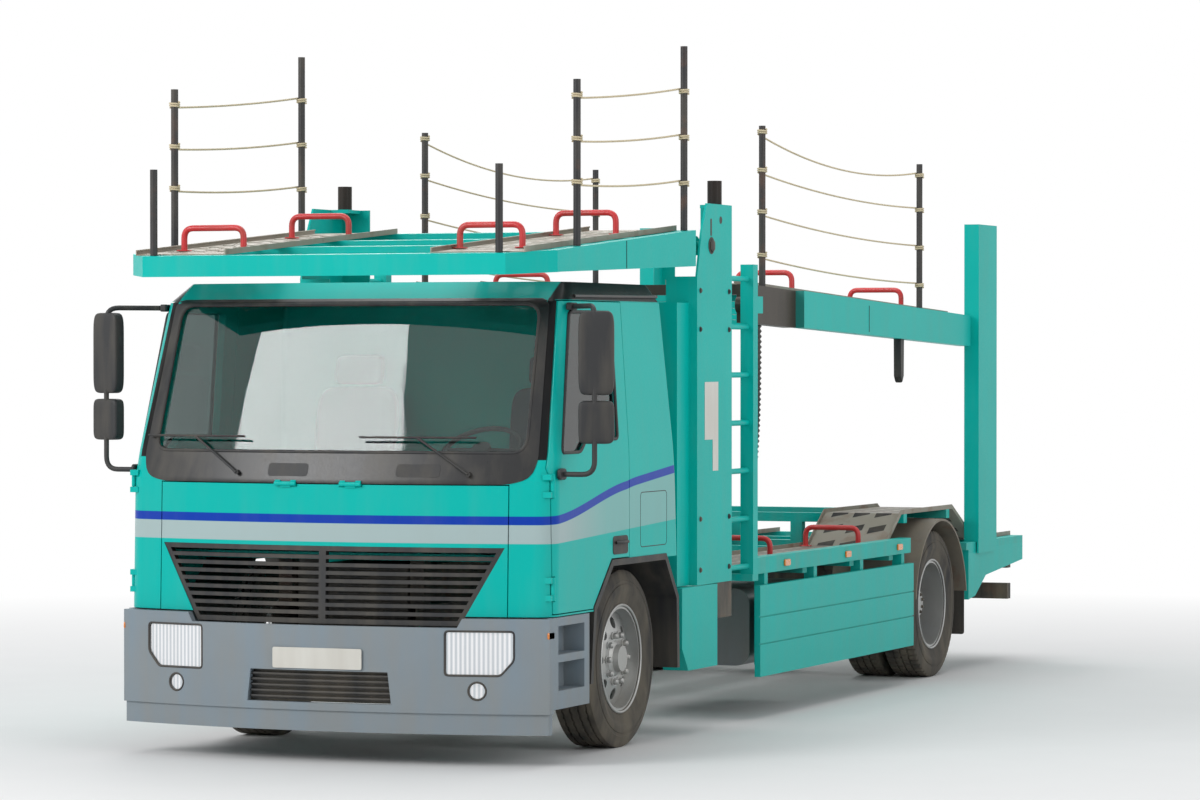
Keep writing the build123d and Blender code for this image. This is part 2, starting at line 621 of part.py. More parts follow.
def make_front_rim():
    """Front rim: barrel, a disc dished outward and a hub that carries the spindle's bore."""
    centre = FRONT_WHEEL_CENTRE
    face = centre + 60.0
    inner = BEAD_RADIUS - RIM_WALL
    barrel = rim_barrel(TYRE_WIDTH, centre)
    disc = wheel_turned(((face - 40.0, inner), (face - 40.0 + DISC_THICKNESS, inner),
                         (face + DISC_THICKNESS, 150.0), (face + DISC_THICKNESS, 40.0), (face, 40.0),
                         (face, 150.0)))
    hub = wheel_turned(((centre - 60.0, FRONT_SPINDLE_RADIUS + PIN_CLEARANCE), (centre - 60.0, HUB_RADIUS),
                        (face + 8.0, HUB_RADIUS), (face + 30.0, 78.0), (face + 60.0, 70.0),
                        (face + 60.0, 0.0), (face + 40.0, 0.0), (face + 40.0, FRONT_SPINDLE_RADIUS + PIN_CLEARANCE)))
    rim = barrel + disc + hub
    for hole in hand_holes(face - 60.0, face + 40.0):
        rim = rim - hole
    return rim


def make_rear_rim():
    """Twin rims on one hub: the outer one is deeply dished inward."""
    inner = BEAD_RADIUS - RIM_WALL
    joint = (TWIN_INNER_CENTRE + TWIN_OUTER_CENTRE) / 2
    barrels = rim_barrel(TWIN_TYRE_WIDTH, TWIN_INNER_CENTRE) + rim_barrel(TWIN_TYRE_WIDTH, TWIN_OUTER_CENTRE)
    gap_low = TWIN_INNER_CENTRE + TWIN_TYRE_WIDTH / 2 - 3 * SIDEWALL_BULGE
    gap_high = TWIN_OUTER_CENTRE - TWIN_TYRE_WIDTH / 2 + 3 * SIDEWALL_BULGE
    spacer = wheel_turned(((gap_low, inner + 10.0), (gap_high, inner + 10.0), (gap_high, inner - 8.0),
                           (gap_low, inner - 8.0)))
    disc = wheel_turned(((joint + 30.0, inner), (joint + 30.0 + DISC_THICKNESS, inner),
                         (joint + DISC_THICKNESS, 150.0), (joint + DISC_THICKNESS, 60.0), (joint, 60.0),
                         (joint, 150.0)))
    cap = joint + 150.0
    hub = wheel_turned(((joint - 190.0, REAR_SPINDLE_RADIUS + PIN_CLEARANCE), (joint - 190.0, 165.0),
                        (joint - 30.0, 165.0), (joint - 30.0, HUB_RADIUS + 20.0), (joint + 30.0, HUB_RADIUS),
                        (cap - 20.0, HUB_RADIUS - 14.0), (cap, 80.0), (cap, 0.0), (cap - 30.0, 0.0),
                        (cap - 30.0, REAR_SPINDLE_RADIUS + PIN_CLEARANCE)))
    rim = barrels + spacer + disc + hub
    for hole in hand_holes(joint - 20.0, joint + 60.0):
        rim = rim - hole
    return rim


def on_axle(shape, station):
    return Pos(0, y_at(station), TYRE_RADIUS) * shape


def make_knuckle():
    """Steering knuckle: two ears round the axle's eye, the kingpin through them and the spindle."""
    ear_low = TYRE_RADIUS - KINGPIN_BOSS_HALF
    ear_high = TYRE_RADIUS + KINGPIN_BOSS_HALF
    ears = []
    for z_low, z_high in ((ear_low - 42.0, ear_low - SEAT_GAP), (ear_high + SEAT_GAP, ear_high + 42.0)):
        boss = upright_rod(KINGPIN_BOSS, KINGPIN_OFFSET, FRONT_AXLE_STATION, z_low, z_high)
        arm = block(KINGPIN_OFFSET, KINGPIN_OFFSET + 100.0, FRONT_AXLE_STATION - 40.0, FRONT_AXLE_STATION + 40.0,
                    z_low, z_high)
        ears += [boss, arm]
    yoke = block(KINGPIN_OFFSET + 62.0, KINGPIN_OFFSET + 100.0, FRONT_AXLE_STATION - 70.0,
                 FRONT_AXLE_STATION + 70.0, ear_low - 42.0, ear_high + 42.0)
    spindle = cross_rod(FRONT_SPINDLE_RADIUS, KINGPIN_OFFSET + 90.0, FRONT_WHEEL_CENTRE + 90.0,
                        FRONT_AXLE_STATION, TYRE_RADIUS)
    kingpin = upright_rod(KINGPIN_RADIUS, KINGPIN_OFFSET, FRONT_AXLE_STATION, ear_low - 30.0, ear_high + 30.0)
    return fuse([yoke, spindle, kingpin] + ears)


def make_front_axle():
    """Forged beam with an I section, raised at its ends to the kingpin eyes."""
    low = TYRE_RADIUS - AXLE_BEAM_DROP - AXLE_BEAM_HEIGHT / 2
    high = low + AXLE_BEAM_HEIGHT
    outline = ((-KINGPIN_OFFSET, TYRE_RADIUS + 40.0), (-KINGPIN_OFFSET, TYRE_RADIUS - 40.0), (-620.0, low),
               (620.0, low), (KINGPIN_OFFSET, TYRE_RADIUS - 40.0), (KINGPIN_OFFSET, TYRE_RADIUS + 40.0),
               (600.0, high), (-600.0, high))
    half = AXLE_BEAM_WIDTH / 2
    beam = front_plate(outline, FRONT_AXLE_STATION - half, FRONT_AXLE_STATION + half)
    for s_low, s_high in ((-half, -half + 30.0), (half - 30.0, half)):
        beam = beam - block(-560.0, 560.0, FRONT_AXLE_STATION + s_low, FRONT_AXLE_STATION + s_high,
                            low + 18.0, high - 18.0)
    eye_low = TYRE_RADIUS - KINGPIN_BOSS_HALF
    eye_high = TYRE_RADIUS + KINGPIN_BOSS_HALF
    for x in (-KINGPIN_OFFSET, KINGPIN_OFFSET):
        beam = beam + upright_rod(KINGPIN_BOSS, x, FRONT_AXLE_STATION, eye_low, eye_high)
        beam = beam - upright_rod(KINGPIN_RADIUS + PIN_CLEARANCE, x, FRONT_AXLE_STATION, eye_low - 5.0,
                                  eye_high + 5.0)
    return beam


def make_spring(axle_station, seat_height, x_middle):
    """An arched leaf spring from its seat on the axle up to the frame rail."""
    half = SPRING_HALF_LENGTH
    lower = ThreePointArc((y_at(axle_station - half), RAIL_BOTTOM - SPRING_THICKNESS / 2),
                          (y_at(axle_station), seat_height),
                          (y_at(axle_station + half), RAIL_BOTTOM - SPRING_THICKNESS / 2))
    upper = ThreePointArc((y_at(axle_station + half), RAIL_BOTTOM),
                          (y_at(axle_station), seat_height + SPRING_THICKNESS),
                          (y_at(axle_station - half), RAIL_BOTTOM))
    face = make_face(lower + Line(lower @ 1, upper @ 0) + upper + Line(upper @ 1, lower @ 0))
    low = x_middle - SPRING_WIDTH / 2
    return extrude(Plane.YZ.offset(low) * face, amount=SPRING_WIDTH)


def make_rear_axle():
    """Driven axle: a round housing, its tubes and the spindles."""
    housing = wheel_turned(((-240.0, 0.0), (-240.0, 70.0), (-110.0, HOUSING_RADIUS), (110.0, HOUSING_RADIUS),
                            (240.0, 70.0), (240.0, 0.0)))
    tube = Rot(0, 90, 0) * Cylinder(AXLE_TUBE_RADIUS, 2 * 660.0)
    spindle = Rot(0, 90, 0) * Cylinder(REAR_SPINDLE_RADIUS, 2 * 1020.0)
    return on_axle(housing + tube + spindle, REAR_AXLE_STATION)


def make_frame():
    """Two channel rails joined by crossmembers."""
    end = TRUCK_LENGTH - RAIL_END_GAP
    web = RAIL_OUTER - RAIL_WEB
    profile = ((RAIL_OUTER, RAIL_BOTTOM), (RAIL_OUTER, RAIL_TOP), (RAIL_INNER, RAIL_TOP),
               (RAIL_INNER, RAIL_TOP - RAIL_WEB), (web, RAIL_TOP - RAIL_WEB), (web, RAIL_BOTTOM + RAIL_WEB),
               (RAIL_INNER, RAIL_BOTTOM + RAIL_WEB), (RAIL_INNER, RAIL_BOTTOM))
    rail = front_plate(profile, RAIL_START, end)
    frame = rail + other_side(rail)
    for station in CROSSMEMBER_STATIONS:
        half = CROSSMEMBER_WIDTH / 2
        frame = frame + block(-web, web, station - half, station + half,
                              RAIL_TOP - RAIL_WEB - CROSSMEMBER_DEPTH, RAIL_TOP - RAIL_WEB)
    for station in CAB_MOUNT_STATIONS:
        mount = block(RAIL_INNER, RAIL_OUTER, station, station + 90.0, RAIL_TOP, CAB_FLOOR_TOP - CAB_FLOOR_THICKNESS)
        frame = frame + mount + other_side(mount)
    return frame


def make_engine():
    """Engine as one plain block with its four mounting feet."""
    engine = block(-320.0, 320.0, 520.0, 1760.0, 560.0, 1020.0)
    for station in (640.0, 1600.0):
        engine = engine + block(-RAIL_OUTER + RAIL_WEB, RAIL_OUTER - RAIL_WEB, station, station + 80.0,
                                650.0, 740.0)
    return engine


def make_driveline():
    """Gearbox behind the engine and the long shaft to the rear axle."""
    gearbox = plan_plate(((-200.0, 1760.0), (200.0, 1760.0), (140.0, 2180.0), (-140.0, 2180.0)), 560.0, 700.0)
    shaft = straight_rod(46.0, (0.0, 2150.0, 620.0), (0.0, REAR_AXLE_STATION - HOUSING_RADIUS - 1.0, 500.0))
    return gearbox + shaft


def rounded_tank(x_low, x_high, s_low, s_high, z_low, z_high, radius):
    tank = block(x_low, x_high, s_low, s_high, z_low, z_high)
    return fillet(tank.edges().filter_by(Axis.Y), radius)


# Lines of the decks in (station, height), front to back
OVER_CAB_TOP = ((50.0, 2684.0), (2350.0, 2862.0))
OVER_CAB_BOTTOM = ((50.0, 2572.0), (340.0, 2590.0), (2350.0, 2657.0))
UPPER_TOP = ((3540.0, 2575.0), (REAR_COLUMN_FRONT - 30.0, 2423.0))
UPPER_BOTTOM = ((3540.0, 2345.0), (REAR_COLUMN_FRONT - 30.0, 2213.0))
UPPER_FRAME_END = 4360.0
LOWER_TRACK_LINE = ((3450.0, LOWER_TRACK), (SKIRT_REAR - 250.0, LOWER_TRACK),
                    (REAR_AXLE_STATION - 550.0, RAISED_TRACK), (REAR_AXLE_STATION + 570.0, RAISED_TRACK),
                    (REAR_AXLE_STATION + 1070.0, TAIL_RAIL_TOP), (TRUCK_LENGTH, TAIL_RAIL_TOP))
OVER_CAB_PLAN = ((-DECK_HALF_WIDTH, 300.0), (190.0 - DECK_HALF_WIDTH, 50.0),
                 (DECK_HALF_WIDTH - 190.0, 50.0), (DECK_HALF_WIDTH, 300.0),
                 (DECK_HALF_WIDTH, 2350.0), (-DECK_HALF_WIDTH, 2350.0))


def make_track(line, x_low, x_high, rise):
    """A wheel track of folded plate: a floor and two raised lips along a (station, height) line."""
    lifted = [(s, z + rise) for s, z in line]
    floor_top = [(s, z + TRACK_PLATE) for s, z in lifted]
    lip_top = [(s, z + TRACK_LIP) for s, z in lifted]
    floor = side_plate(lifted + floor_top[::-1], x_low, x_high)
    lip = side_plate(lifted + lip_top[::-1], x_low, x_low + TRACK_PLATE)
    return fuse([floor, lip, Pos(x_high - x_low - TRACK_PLATE, 0, 0) * lip])


def deck_crossbeam(line, station, half_width, drop=0.0):
    """A crossbeam under the tracks at a station, following the deck's slope."""
    half = DECK_CROSSBEAM_WIDTH / 2
    z_front = height_on(line, station - half) - drop
    z_rear = height_on(line, station + half) - drop
    outline = ((station - half, z_front), (station + half, z_rear), (station + half, z_rear - DECK_CROSSBEAM_DEPTH),
               (station - half, z_front - DECK_CROSSBEAM_DEPTH))
    return side_plate(outline, -half_width, half_width)


def make_over_cab_frame():
    """Frame of the deck over the cab: a ring of beams with chamfered front corners and pivot arms."""
    section = side_plate(OVER_CAB_TOP + OVER_CAB_BOTTOM[::-1], -DECK_HALF_WIDTH, DECK_HALF_WIDTH)
    ring = plan_plate(OVER_CAB_PLAN, 2400.0, 3000.0) - plan_plate(OVER_CAB_PLAN, 2400.0, 3000.0, -BEAM_THICKNESS)
    frame = section & ring
    for station in (900.0, 1550.0):
        frame = frame + deck_crossbeam(OVER_CAB_TOP, station, DECK_HALF_WIDTH - BEAM_THICKNESS / 2)
    arm_outer = DECK_HALF_WIDTH - BEAM_THICKNESS - 20.0
    arm_inner = arm_outer - PIVOT_ARM_THICKNESS
    arm = side_plate(((2300.0, 2660.0), (2300.0, 2845.0), (OVER_CAB_PIVOT_STATION, 2835.0),
                      (OVER_CAB_PIVOT_STATION, 2725.0)), arm_inner, arm_outer)
    arm = arm + cross_rod(55.0, arm_inner, arm_outer, OVER_CAB_PIVOT_STATION, OVER_CAB_PIVOT_HEIGHT)
    arm = arm - cross_rod(PIVOT_PIN_RADIUS + PIN_CLEARANCE, arm_inner - 5.0, arm_outer + 5.0,
                          OVER_CAB_PIVOT_STATION, OVER_CAB_PIVOT_HEIGHT)
    return frame + arm + other_side(arm)


def make_wheel_stop(line, station, rise):
    """A bow of bent tube that stands across a wheel track."""
    x_low = TRACK_INNER + 40.0
    x_high = TRACK_OUTER - 40.0
    edges = (height_on(line, station - STOP_TUBE_RADIUS), height_on(line, station + STOP_TUBE_RADIUS))
    foot = max(edges) + rise
    top = foot + STOP_HEIGHT
    return bent_tube(((x_low, station, foot), (x_low, station, top), (x_high, station, top),
                      (x_high, station, foot)), 80.0, STOP_TUBE_RADIUS)


def make_upper_front_frame():
    """Front end of the rear upper deck with its pivot lugs."""
    x_outer = LADDER_INNER - 5.0
    x_inner = x_outer - 85.0
    outline = ((3540.0, 2345.0), (3540.0, height_on(UPPER_TOP, 3540.0)),
               (UPPER_FRAME_END, height_on(UPPER_TOP, UPPER_FRAME_END)),
               (UPPER_FRAME_END, height_on(UPPER_BOTTOM, UPPER_FRAME_END)))
    beam = side_plate(outline, x_inner, x_outer)
    lug = block(x_outer - PIVOT_ARM_THICKNESS, x_outer, UPPER_PIVOT_STATION, 3545.0, UPPER_PIVOT_HEIGHT - 50.0,
                UPPER_PIVOT_HEIGHT + 50.0)
    lug = lug + cross_rod(50.0, x_outer - PIVOT_ARM_THICKNESS, x_outer, UPPER_PIVOT_STATION, UPPER_PIVOT_HEIGHT)
    side = beam + lug - cross_rod(PIVOT_PIN_RADIUS + PIN_CLEARANCE, x_inner - 5.0, x_outer + 5.0,
                                  UPPER_PIVOT_STATION, UPPER_PIVOT_HEIGHT)
    cross = deck_crossbeam(UPPER_TOP, 3600.0, x_outer - 40.0)
    return side + other_side(side) + cross


def make_upper_beams():
    """Side beams of the rear upper deck with their crossbeams."""
    outline = ((UPPER_FRAME_END, height_on(UPPER_TOP, UPPER_FRAME_END)), UPPER_TOP[1], UPPER_BOTTOM[1],
               (UPPER_FRAME_END, height_on(UPPER_BOTTOM, UPPER_FRAME_END)))
    beam = side_plate(outline, UPPER_HALF_WIDTH - 80.0, UPPER_HALF_WIDTH)
    deck = beam + other_side(beam)
    for station in (UPPER_FRAME_END + 60.0, UPPER_FRAME_END + 940.0, UPPER_FRAME_END + 1840.0,
                    REAR_COLUMN_FRONT - 860.0, REAR_COLUMN_FRONT - 70.0):
        deck = deck + deck_crossbeam(UPPER_TOP, station, UPPER_HALF_WIDTH - 40.0, 0.0)
    return deck


def make_column():
    """Front column: an outer plate with two flanges, open inward, and a brace in front of it."""
    outline = ((COLUMN_FRONT, COLUMN_FOOT), (COLUMN_FRONT, 2600.0), (2444.0, 2858.0), (2531.0, COLUMN_TOP),
               (COLUMN_REAR, COLUMN_TOP), (COLUMN_REAR, COLUMN_FOOT))
    plate = side_plate(outline, BODY_HALF_WIDTH - COLUMN_PLATE, BODY_HALF_WIDTH)
    inner = BODY_HALF_WIDTH - COLUMN_DEPTH
    front = block(inner, BODY_HALF_WIDTH, COLUMN_FRONT, COLUMN_FRONT + COLUMN_PLATE, COLUMN_FOOT, 2600.0)
    rear = block(inner, BODY_HALF_WIDTH, COLUMN_REAR - COLUMN_PLATE, COLUMN_REAR, COLUMN_FOOT, COLUMN_TOP)
    brace = block(BRACE_INNER, BRACE_OUTER, BRACE_FRONT, COLUMN_FRONT, COLUMN_FOOT, BRACE_TOP)
    pin_end = DECK_HALF_WIDTH - BEAM_THICKNESS - 20.0 - PIVOT_ARM_THICKNESS - 10.0
    pin = cross_rod(PIVOT_PIN_RADIUS, pin_end, BODY_HALF_WIDTH - COLUMN_PLATE, OVER_CAB_PIVOT_STATION,
                    OVER_CAB_PIVOT_HEIGHT)
    head = block(BODY_HALF_WIDTH - 130.0, BODY_HALF_WIDTH - COLUMN_PLATE, 2760.0, COLUMN_REAR, COLUMN_TOP - 20.0,
                 COLUMN_TOP)
    cap = upright_rod(42.0, BODY_HALF_WIDTH - 70.0, 2840.0, COLUMN_TOP, COLUMN_TOP + 140.0)
    return fuse([plate, front, rear, brace, pin, head, cap])


def make_rear_column():
    plate = block(BODY_HALF_WIDTH - COLUMN_PLATE, BODY_HALF_WIDTH, REAR_COLUMN_FRONT, REAR_COLUMN_REAR,
                  SKIRT_TOP, REAR_COLUMN_TOP)
    inner = BODY_HALF_WIDTH - REAR_COLUMN_DEPTH
    front = block(inner, BODY_HALF_WIDTH, REAR_COLUMN_FRONT, REAR_COLUMN_FRONT + COLUMN_PLATE, TAIL_RAIL_TOP,
                  REAR_COLUMN_TOP)
    rear = block(inner, BODY_HALF_WIDTH, REAR_COLUMN_REAR - COLUMN_PLATE, REAR_COLUMN_REAR, TAIL_RAIL_TOP,
                 REAR_COLUMN_TOP)
    return plate + front + rear


def make_ladder():
    """Ladder post with its rungs to the column and the bracket of the upper deck's pivot."""
    post = block(LADDER_INNER, LADDER_OUTER, LADDER_POST_FRONT, LADDER_POST_REAR, LADDER_POST_FOOT,
                 LADDER_POST_TOP)
    rungs = []
    for index in range(RUNG_COUNT):
        rungs.append(lengthwise_rod(RUNG_RADIUS, (LADDER_INNER + LADDER_OUTER) / 2, COLUMN_REAR, LADDER_POST_FRONT,
                                    RUNG_TOP - RUNG_PITCH * index))
    bracket = block(LADDER_INNER, LADDER_OUTER, LADDER_POST_REAR, UPPER_PIVOT_STATION + 40.0,
                    UPPER_PIVOT_HEIGHT - 50.0, UPPER_PIVOT_HEIGHT + 50.0)
    pin = cross_rod(PIVOT_PIN_RADIUS, LADDER_INNER - 5.0 - PIVOT_ARM_THICKNESS - 8.0, LADDER_INNER,
                    UPPER_PIVOT_STATION, UPPER_PIVOT_HEIGHT)
    return fuse([post, bracket, pin] + rungs)


def make_lower_deck():
    """Lower deck: side rails and crossbeams on the frame, and two tracks that rise over the wheels."""
    rail = block(LOWER_RAIL_OUTER - LOWER_RAIL_WIDTH, LOWER_RAIL_OUTER, LADDER_POST_REAR, SKIRT_REAR,
                 LOWER_RAIL_TOP - LOWER_RAIL_DEPTH, LOWER_RAIL_TOP)
    rear_rail = block(LOWER_RAIL_OUTER - LOWER_RAIL_WIDTH, LOWER_RAIL_OUTER, TAIL_PANEL_FRONT - 50.0,
                      TRUCK_LENGTH, TAIL_PANEL_TOP, TAIL_RAIL_TOP)
    first = block(-LOWER_RAIL_OUTER, LOWER_RAIL_OUTER, 3350.0, 3450.0, RAIL_TOP, LADDER_POST_FOOT)
    pieces = [first]
    for station in (3500.0, 4400.0, SKIRT_REAR - 1100.0, SKIRT_REAR - 300.0):
        pieces.append(block(-LOWER_RAIL_OUTER + 40.0, LOWER_RAIL_OUTER - 40.0, station - 40.0, station + 40.0,
                            RAIL_TOP, LOWER_TRACK))
    for station in (TAIL_PANEL_FRONT - 10.0, REAR_COLUMN_FRONT + 340.0, TRUCK_LENGTH - 40.0):
        pieces.append(block(-LOWER_RAIL_OUTER + 40.0, LOWER_RAIL_OUTER - 40.0, station - 40.0, station + 40.0,
                            RAIL_TOP, TAIL_RAIL_TOP))
    for station in (REAR_AXLE_STATION - 470.0, REAR_AXLE_STATION + 470.0):
        pieces.append(block(-TRACK_OUTER, TRACK_OUTER, station - 35.0, station + 35.0, RAISED_TRACK - 60.0, RAISED_TRACK))
        for x in (RAIL_INNER, -RAIL_OUTER):
            pieces.append(block(x, x + RAIL_FLANGE, station - 35.0, station + 35.0, RAIL_TOP, RAISED_TRACK - 60.0))
    deck = fuse([rail, other_side(rail), rear_rail, other_side(rear_rail)] + pieces)
    track = make_track(LOWER_TRACK_LINE, TRACK_INNER, TRACK_OUTER, 0.0)
    return deck + track + other_side(track)


def make_fender():
    """Guard over the twin wheels, a band of constant radius."""
    outer = cross_rod(FENDER_RADIUS + FENDER_THICKNESS, FENDER_INNER, BODY_HALF_WIDTH - 5.0, REAR_AXLE_STATION,
                      TYRE_RADIUS)
    inner = cross_rod(FENDER_RADIUS, FENDER_INNER - 5.0, BODY_HALF_WIDTH, REAR_AXLE_STATION, TYRE_RADIUS)
    low_cut = block(0.0, 1400.0, REAR_AXLE_STATION - 700.0, REAR_AXLE_STATION + 700.0, -300.0, TYRE_RADIUS + 60.0)
    stay = block(RAIL_OUTER, FENDER_INNER + 5.0, REAR_AXLE_STATION - 40.0, REAR_AXLE_STATION + 40.0, 700.0, 760.0)
    upright = block(FENDER_INNER, FENDER_INNER + 10.0, REAR_AXLE_STATION - 40.0, REAR_AXLE_STATION + 40.0, 700.0,
                    TYRE_RADIUS + FENDER_RADIUS + 6.0)
    return outer - inner - low_cut, stay + upright


def make_skirt():
    """Side skirt with two level seams, hung from the deck rail by four hangers."""
    outer = BODY_HALF_WIDTH
    panel = block(outer - SKIRT_THICKNESS, outer, SKIRT_FRONT, SKIRT_REAR, SKIRT_BOTTOM, SKIRT_TOP)
    for height in SKIRT_SEAMS:
        panel = panel - block(outer - SKIRT_SEAM_SIZE, outer + 5.0, SKIRT_FRONT - 5.0, SKIRT_REAR + 5.0,
                              height - SKIRT_SEAM_SIZE / 2, height + SKIRT_SEAM_SIZE / 2)
    hangers = []
    for station in (3600.0, SKIRT_REAR - 1900.0, SKIRT_REAR - 1000.0, SKIRT_REAR - 150.0):
        hangers.append(block(LOWER_RAIL_OUTER - LOWER_RAIL_WIDTH, outer - SKIRT_THICKNESS, station, station + 60.0,
                             SKIRT_BOTTOM + 60.0, LOWER_RAIL_TOP - LOWER_RAIL_DEPTH))
    return fuse([panel] + hangers)


def make_tail_panel():
    """Side panel behind the twin wheels, its lower edge sweeping up to the rear."""
    return side_plate(((TAIL_PANEL_FRONT, 480.0), (TAIL_PANEL_FRONT, TAIL_PANEL_TOP),
                       (TRUCK_LENGTH, TAIL_PANEL_TOP), (TRUCK_LENGTH, 700.0), (TAIL_PANEL_FRONT + 410.0, 630.0),
                       (TAIL_PANEL_FRONT + 160.0, 500.0)),
                      LOWER_RAIL_OUTER - 50.0, LOWER_RAIL_OUTER)


def make_fairing():
    """Chamfered box at the foot of the column."""
    box = side_plate(((2130.0, 500.0), (2130.0, 840.0), (2700.0, 840.0), (2700.0, 370.0), (2230.0, 370.0)),
                     FAIRING_INNER, BODY_HALF_WIDTH)
    return box


def make_column_base():
    """Outrigger that carries a column from the frame rail."""
    base = block(RAIL_OUTER, FAIRING_INNER, 2300.0, 2930.0, 640.0, COLUMN_FOOT)
    return base + block(FAIRING_INNER - 10.0, BODY_HALF_WIDTH - 2.0, 2706.0, 2940.0, 640.0, COLUMN_FOOT)


def make_rear_bumper():
    """Underrun bar on its brackets, with the lamp carrier above it."""
    face = TRUCK_LENGTH - 30.0
    bar = block(100.0 - BODY_HALF_WIDTH, BODY_HALF_WIDTH - 100.0, face - 80.0, face, 420.0, 530.0)
    carrier = block(100.0 - BODY_HALF_WIDTH, BODY_HALF_WIDTH - 100.0, face - 80.0, face, 640.0, 780.0)
    bracket = block(RAIL_INNER, RAIL_OUTER, TRUCK_LENGTH - RAIL_END_GAP, face - 70.0, 440.0, 780.0)
    for x in (-TAIL_LAMP_X, TAIL_LAMP_X):
        carrier = carrier - block(x - TAIL_LAMP_HALF, x + TAIL_LAMP_HALF, face - 15.0, face + 5.0, 665.0, 755.0)
    return fuse([bar, carrier, bracket, other_side(bracket)])


def make_tail_lamps():
    face = TRUCK_LENGTH - 30.0
    lamp = block(TAIL_LAMP_X - TAIL_LAMP_HALF + SEAT_GAP, TAIL_LAMP_X + TAIL_LAMP_HALF - SEAT_GAP, face - 15.0,
                 face + 12.0, 665.0 + SEAT_GAP, 755.0 - SEAT_GAP)
    return both_sides(lamp)


def make_tow_coupling():
    """Drawbar jaw under the frame's tail with an upright bore through both of its ears."""
    carrier = block(-160.0, 160.0, COUPLING_STATION - 175.0, COUPLING_STATION - 105.0, 440.0,
                    RAIL_TOP - RAIL_WEB - CROSSMEMBER_DEPTH)
    ears = [block(-75.0, 75.0, COUPLING_STATION - 110.0, COUPLING_STATION + 60.0, low, low + 45.0)
            for low in (460.0, 565.0)]
    jaw = fuse([carrier] + ears)
    return jaw - upright_rod(COUPLING_BORE, 0.0, COUPLING_STATION, 450.0, 620.0)


# Posts stand on the deck beams. Columns: x, station, height of the top
OVER_CAB_POSTS = ((BODY_HALF_WIDTH - 50.0, 690.0, 3620.0), (BODY_HALF_WIDTH - 50.0, 2290.0, 3900.0),
                  (BODY_HALF_WIDTH - 240.0, 85.0, 3150.0))
UPPER_POSTS = ((BODY_HALF_WIDTH - 140.0, 3850.0, 3530.0),
               (BODY_HALF_WIDTH - 90.0, REAR_COLUMN_FRONT - 1060.0, 3420.0))

base = make_column_base()
body, door, flap = make_cab()
seat_back, seat_foot = make_seat_back()
fender_band, fender_stay = make_fender()
over_cab_stops = [make_wheel_stop(OVER_CAB_TOP, s, TRACK_PLATE) for s in (420.0, 1750.0)]
upper_stops = [make_wheel_stop(UPPER_TOP, s, TRACK_PLATE) for s in (4700.0, REAR_COLUMN_FRONT - 960.0)]
lower_stops = [make_wheel_stop(LOWER_TRACK_LINE, s, TRACK_PLATE) for s in (4300.0, SKIRT_REAR - 400.0)]
over_cab_line = ((125.0, height_on(OVER_CAB_TOP, 125.0)), (2330.0, height_on(OVER_CAB_TOP, 2330.0)))
upper_track_end = REAR_COLUMN_FRONT - 40.0
upper_line = ((3560.0, height_on(UPPER_TOP, 3560.0)), (upper_track_end, height_on(UPPER_TOP, upper_track_end)))
over_cab_tracks = make_track(over_cab_line, TRACK_INNER, TRACK_OUTER, 0.0)
upper_tracks = make_track(upper_line, TRACK_INNER, TRACK_OUTER - 100.0, 0.0)
over_cab_posts = [upright_rod(POST_ROD_RADIUS, x, s, height_on(OVER_CAB_TOP, s + POST_ROD_RADIUS), top)
                  for x, s, top in OVER_CAB_POSTS]
upper_posts = [upright_rod(POST_ROD_RADIUS, x, s, height_on(UPPER_TOP, s - POST_ROD_RADIUS), top)
               for x, s, top in UPPER_POSTS]

NODES = {
    "chassis_frame": [make_frame() + base + other_side(base)],
    "engine_block": [make_engine()],
    "driveline": [make_driveline()],
    "front_axle": [make_front_axle()],
    "rear_axle": [make_rear_axle()],
    "leaf_springs": both_sides(
        make_spring(FRONT_AXLE_STATION, TYRE_RADIUS - AXLE_BEAM_DROP + AXLE_BEAM_HEIGHT / 2, 390.0),
        make_spring(REAR_AXLE_STATION, TYRE_RADIUS + AXLE_TUBE_RADIUS, 390.0)),
    "fuel_tank": [rounded_tank(RAIL_OUTER, TANK_OUTER, 3600.0, 4800.0, 300.0, 760.0, 90.0)],
    "battery_box": [other_side(rounded_tank(RAIL_OUTER, TANK_OUTER, 3600.0, 4400.0, 320.0, 740.0, 20.0))],
    "front_bumper": [make_bumper()],
    "front_lamps": make_front_lamps(),
    "cab_body": [body],
    "windscreen": [make_windscreen()],
    "dashboard": [make_dashboard() + make_steering_wheel()],
    "seat_frames": both_sides(make_seat_base() + seat_foot),
    "seat_pads": both_sides(make_seat_cushion(), Pos(0, 0, SEAT_GAP) * seat_back),
    "wipers": [make_wiper(-520.0), make_wiper(810.0)],
    "wheel_arches": both_sides(make_arch_band()),
    "cab_steps": both_sides(make_step_panel()),
    "front_columns": both_sides(make_column()),
    "ladders": both_sides(make_ladder()),
    "rear_columns": both_sides(make_rear_column()),
    "lower_deck": [make_lower_deck()],
    "lower_wheel_stops": both_sides(*lower_stops),
    "rear_fenders": both_sides(fender_band + fender_stay),
    "side_panels": both_sides(make_skirt(), make_fairing(), make_tail_panel()),
    "rear_bumper": [make_rear_bumper()],
    "tail_lamps": make_tail_lamps(),
    "tow_coupling": [make_tow_coupling()],
    "over_cab_frame": [make_over_cab_frame()],
    "over_cab_tracks": both_sides(over_cab_tracks),
    "over_cab_stops": both_sides(*over_cab_stops),
    "over_cab_posts": both_sides(*over_cab_posts),
    "upper_deck_frame": [make_upper_front_frame() + make_upper_beams()],
    "upper_tracks": both_sides(upper_tracks),
    "upper_stops": both_sides(*upper_stops),
    "upper_posts": both_sides(*upper_posts),
    "front_flap": [flap],
    "grille": [make_grille()],
}
front_tyre = on_axle(tyre_ring(TYRE_WIDTH, TREAD_WIDTH, FRONT_WHEEL_CENTRE), FRONT_AXLE_STATION)
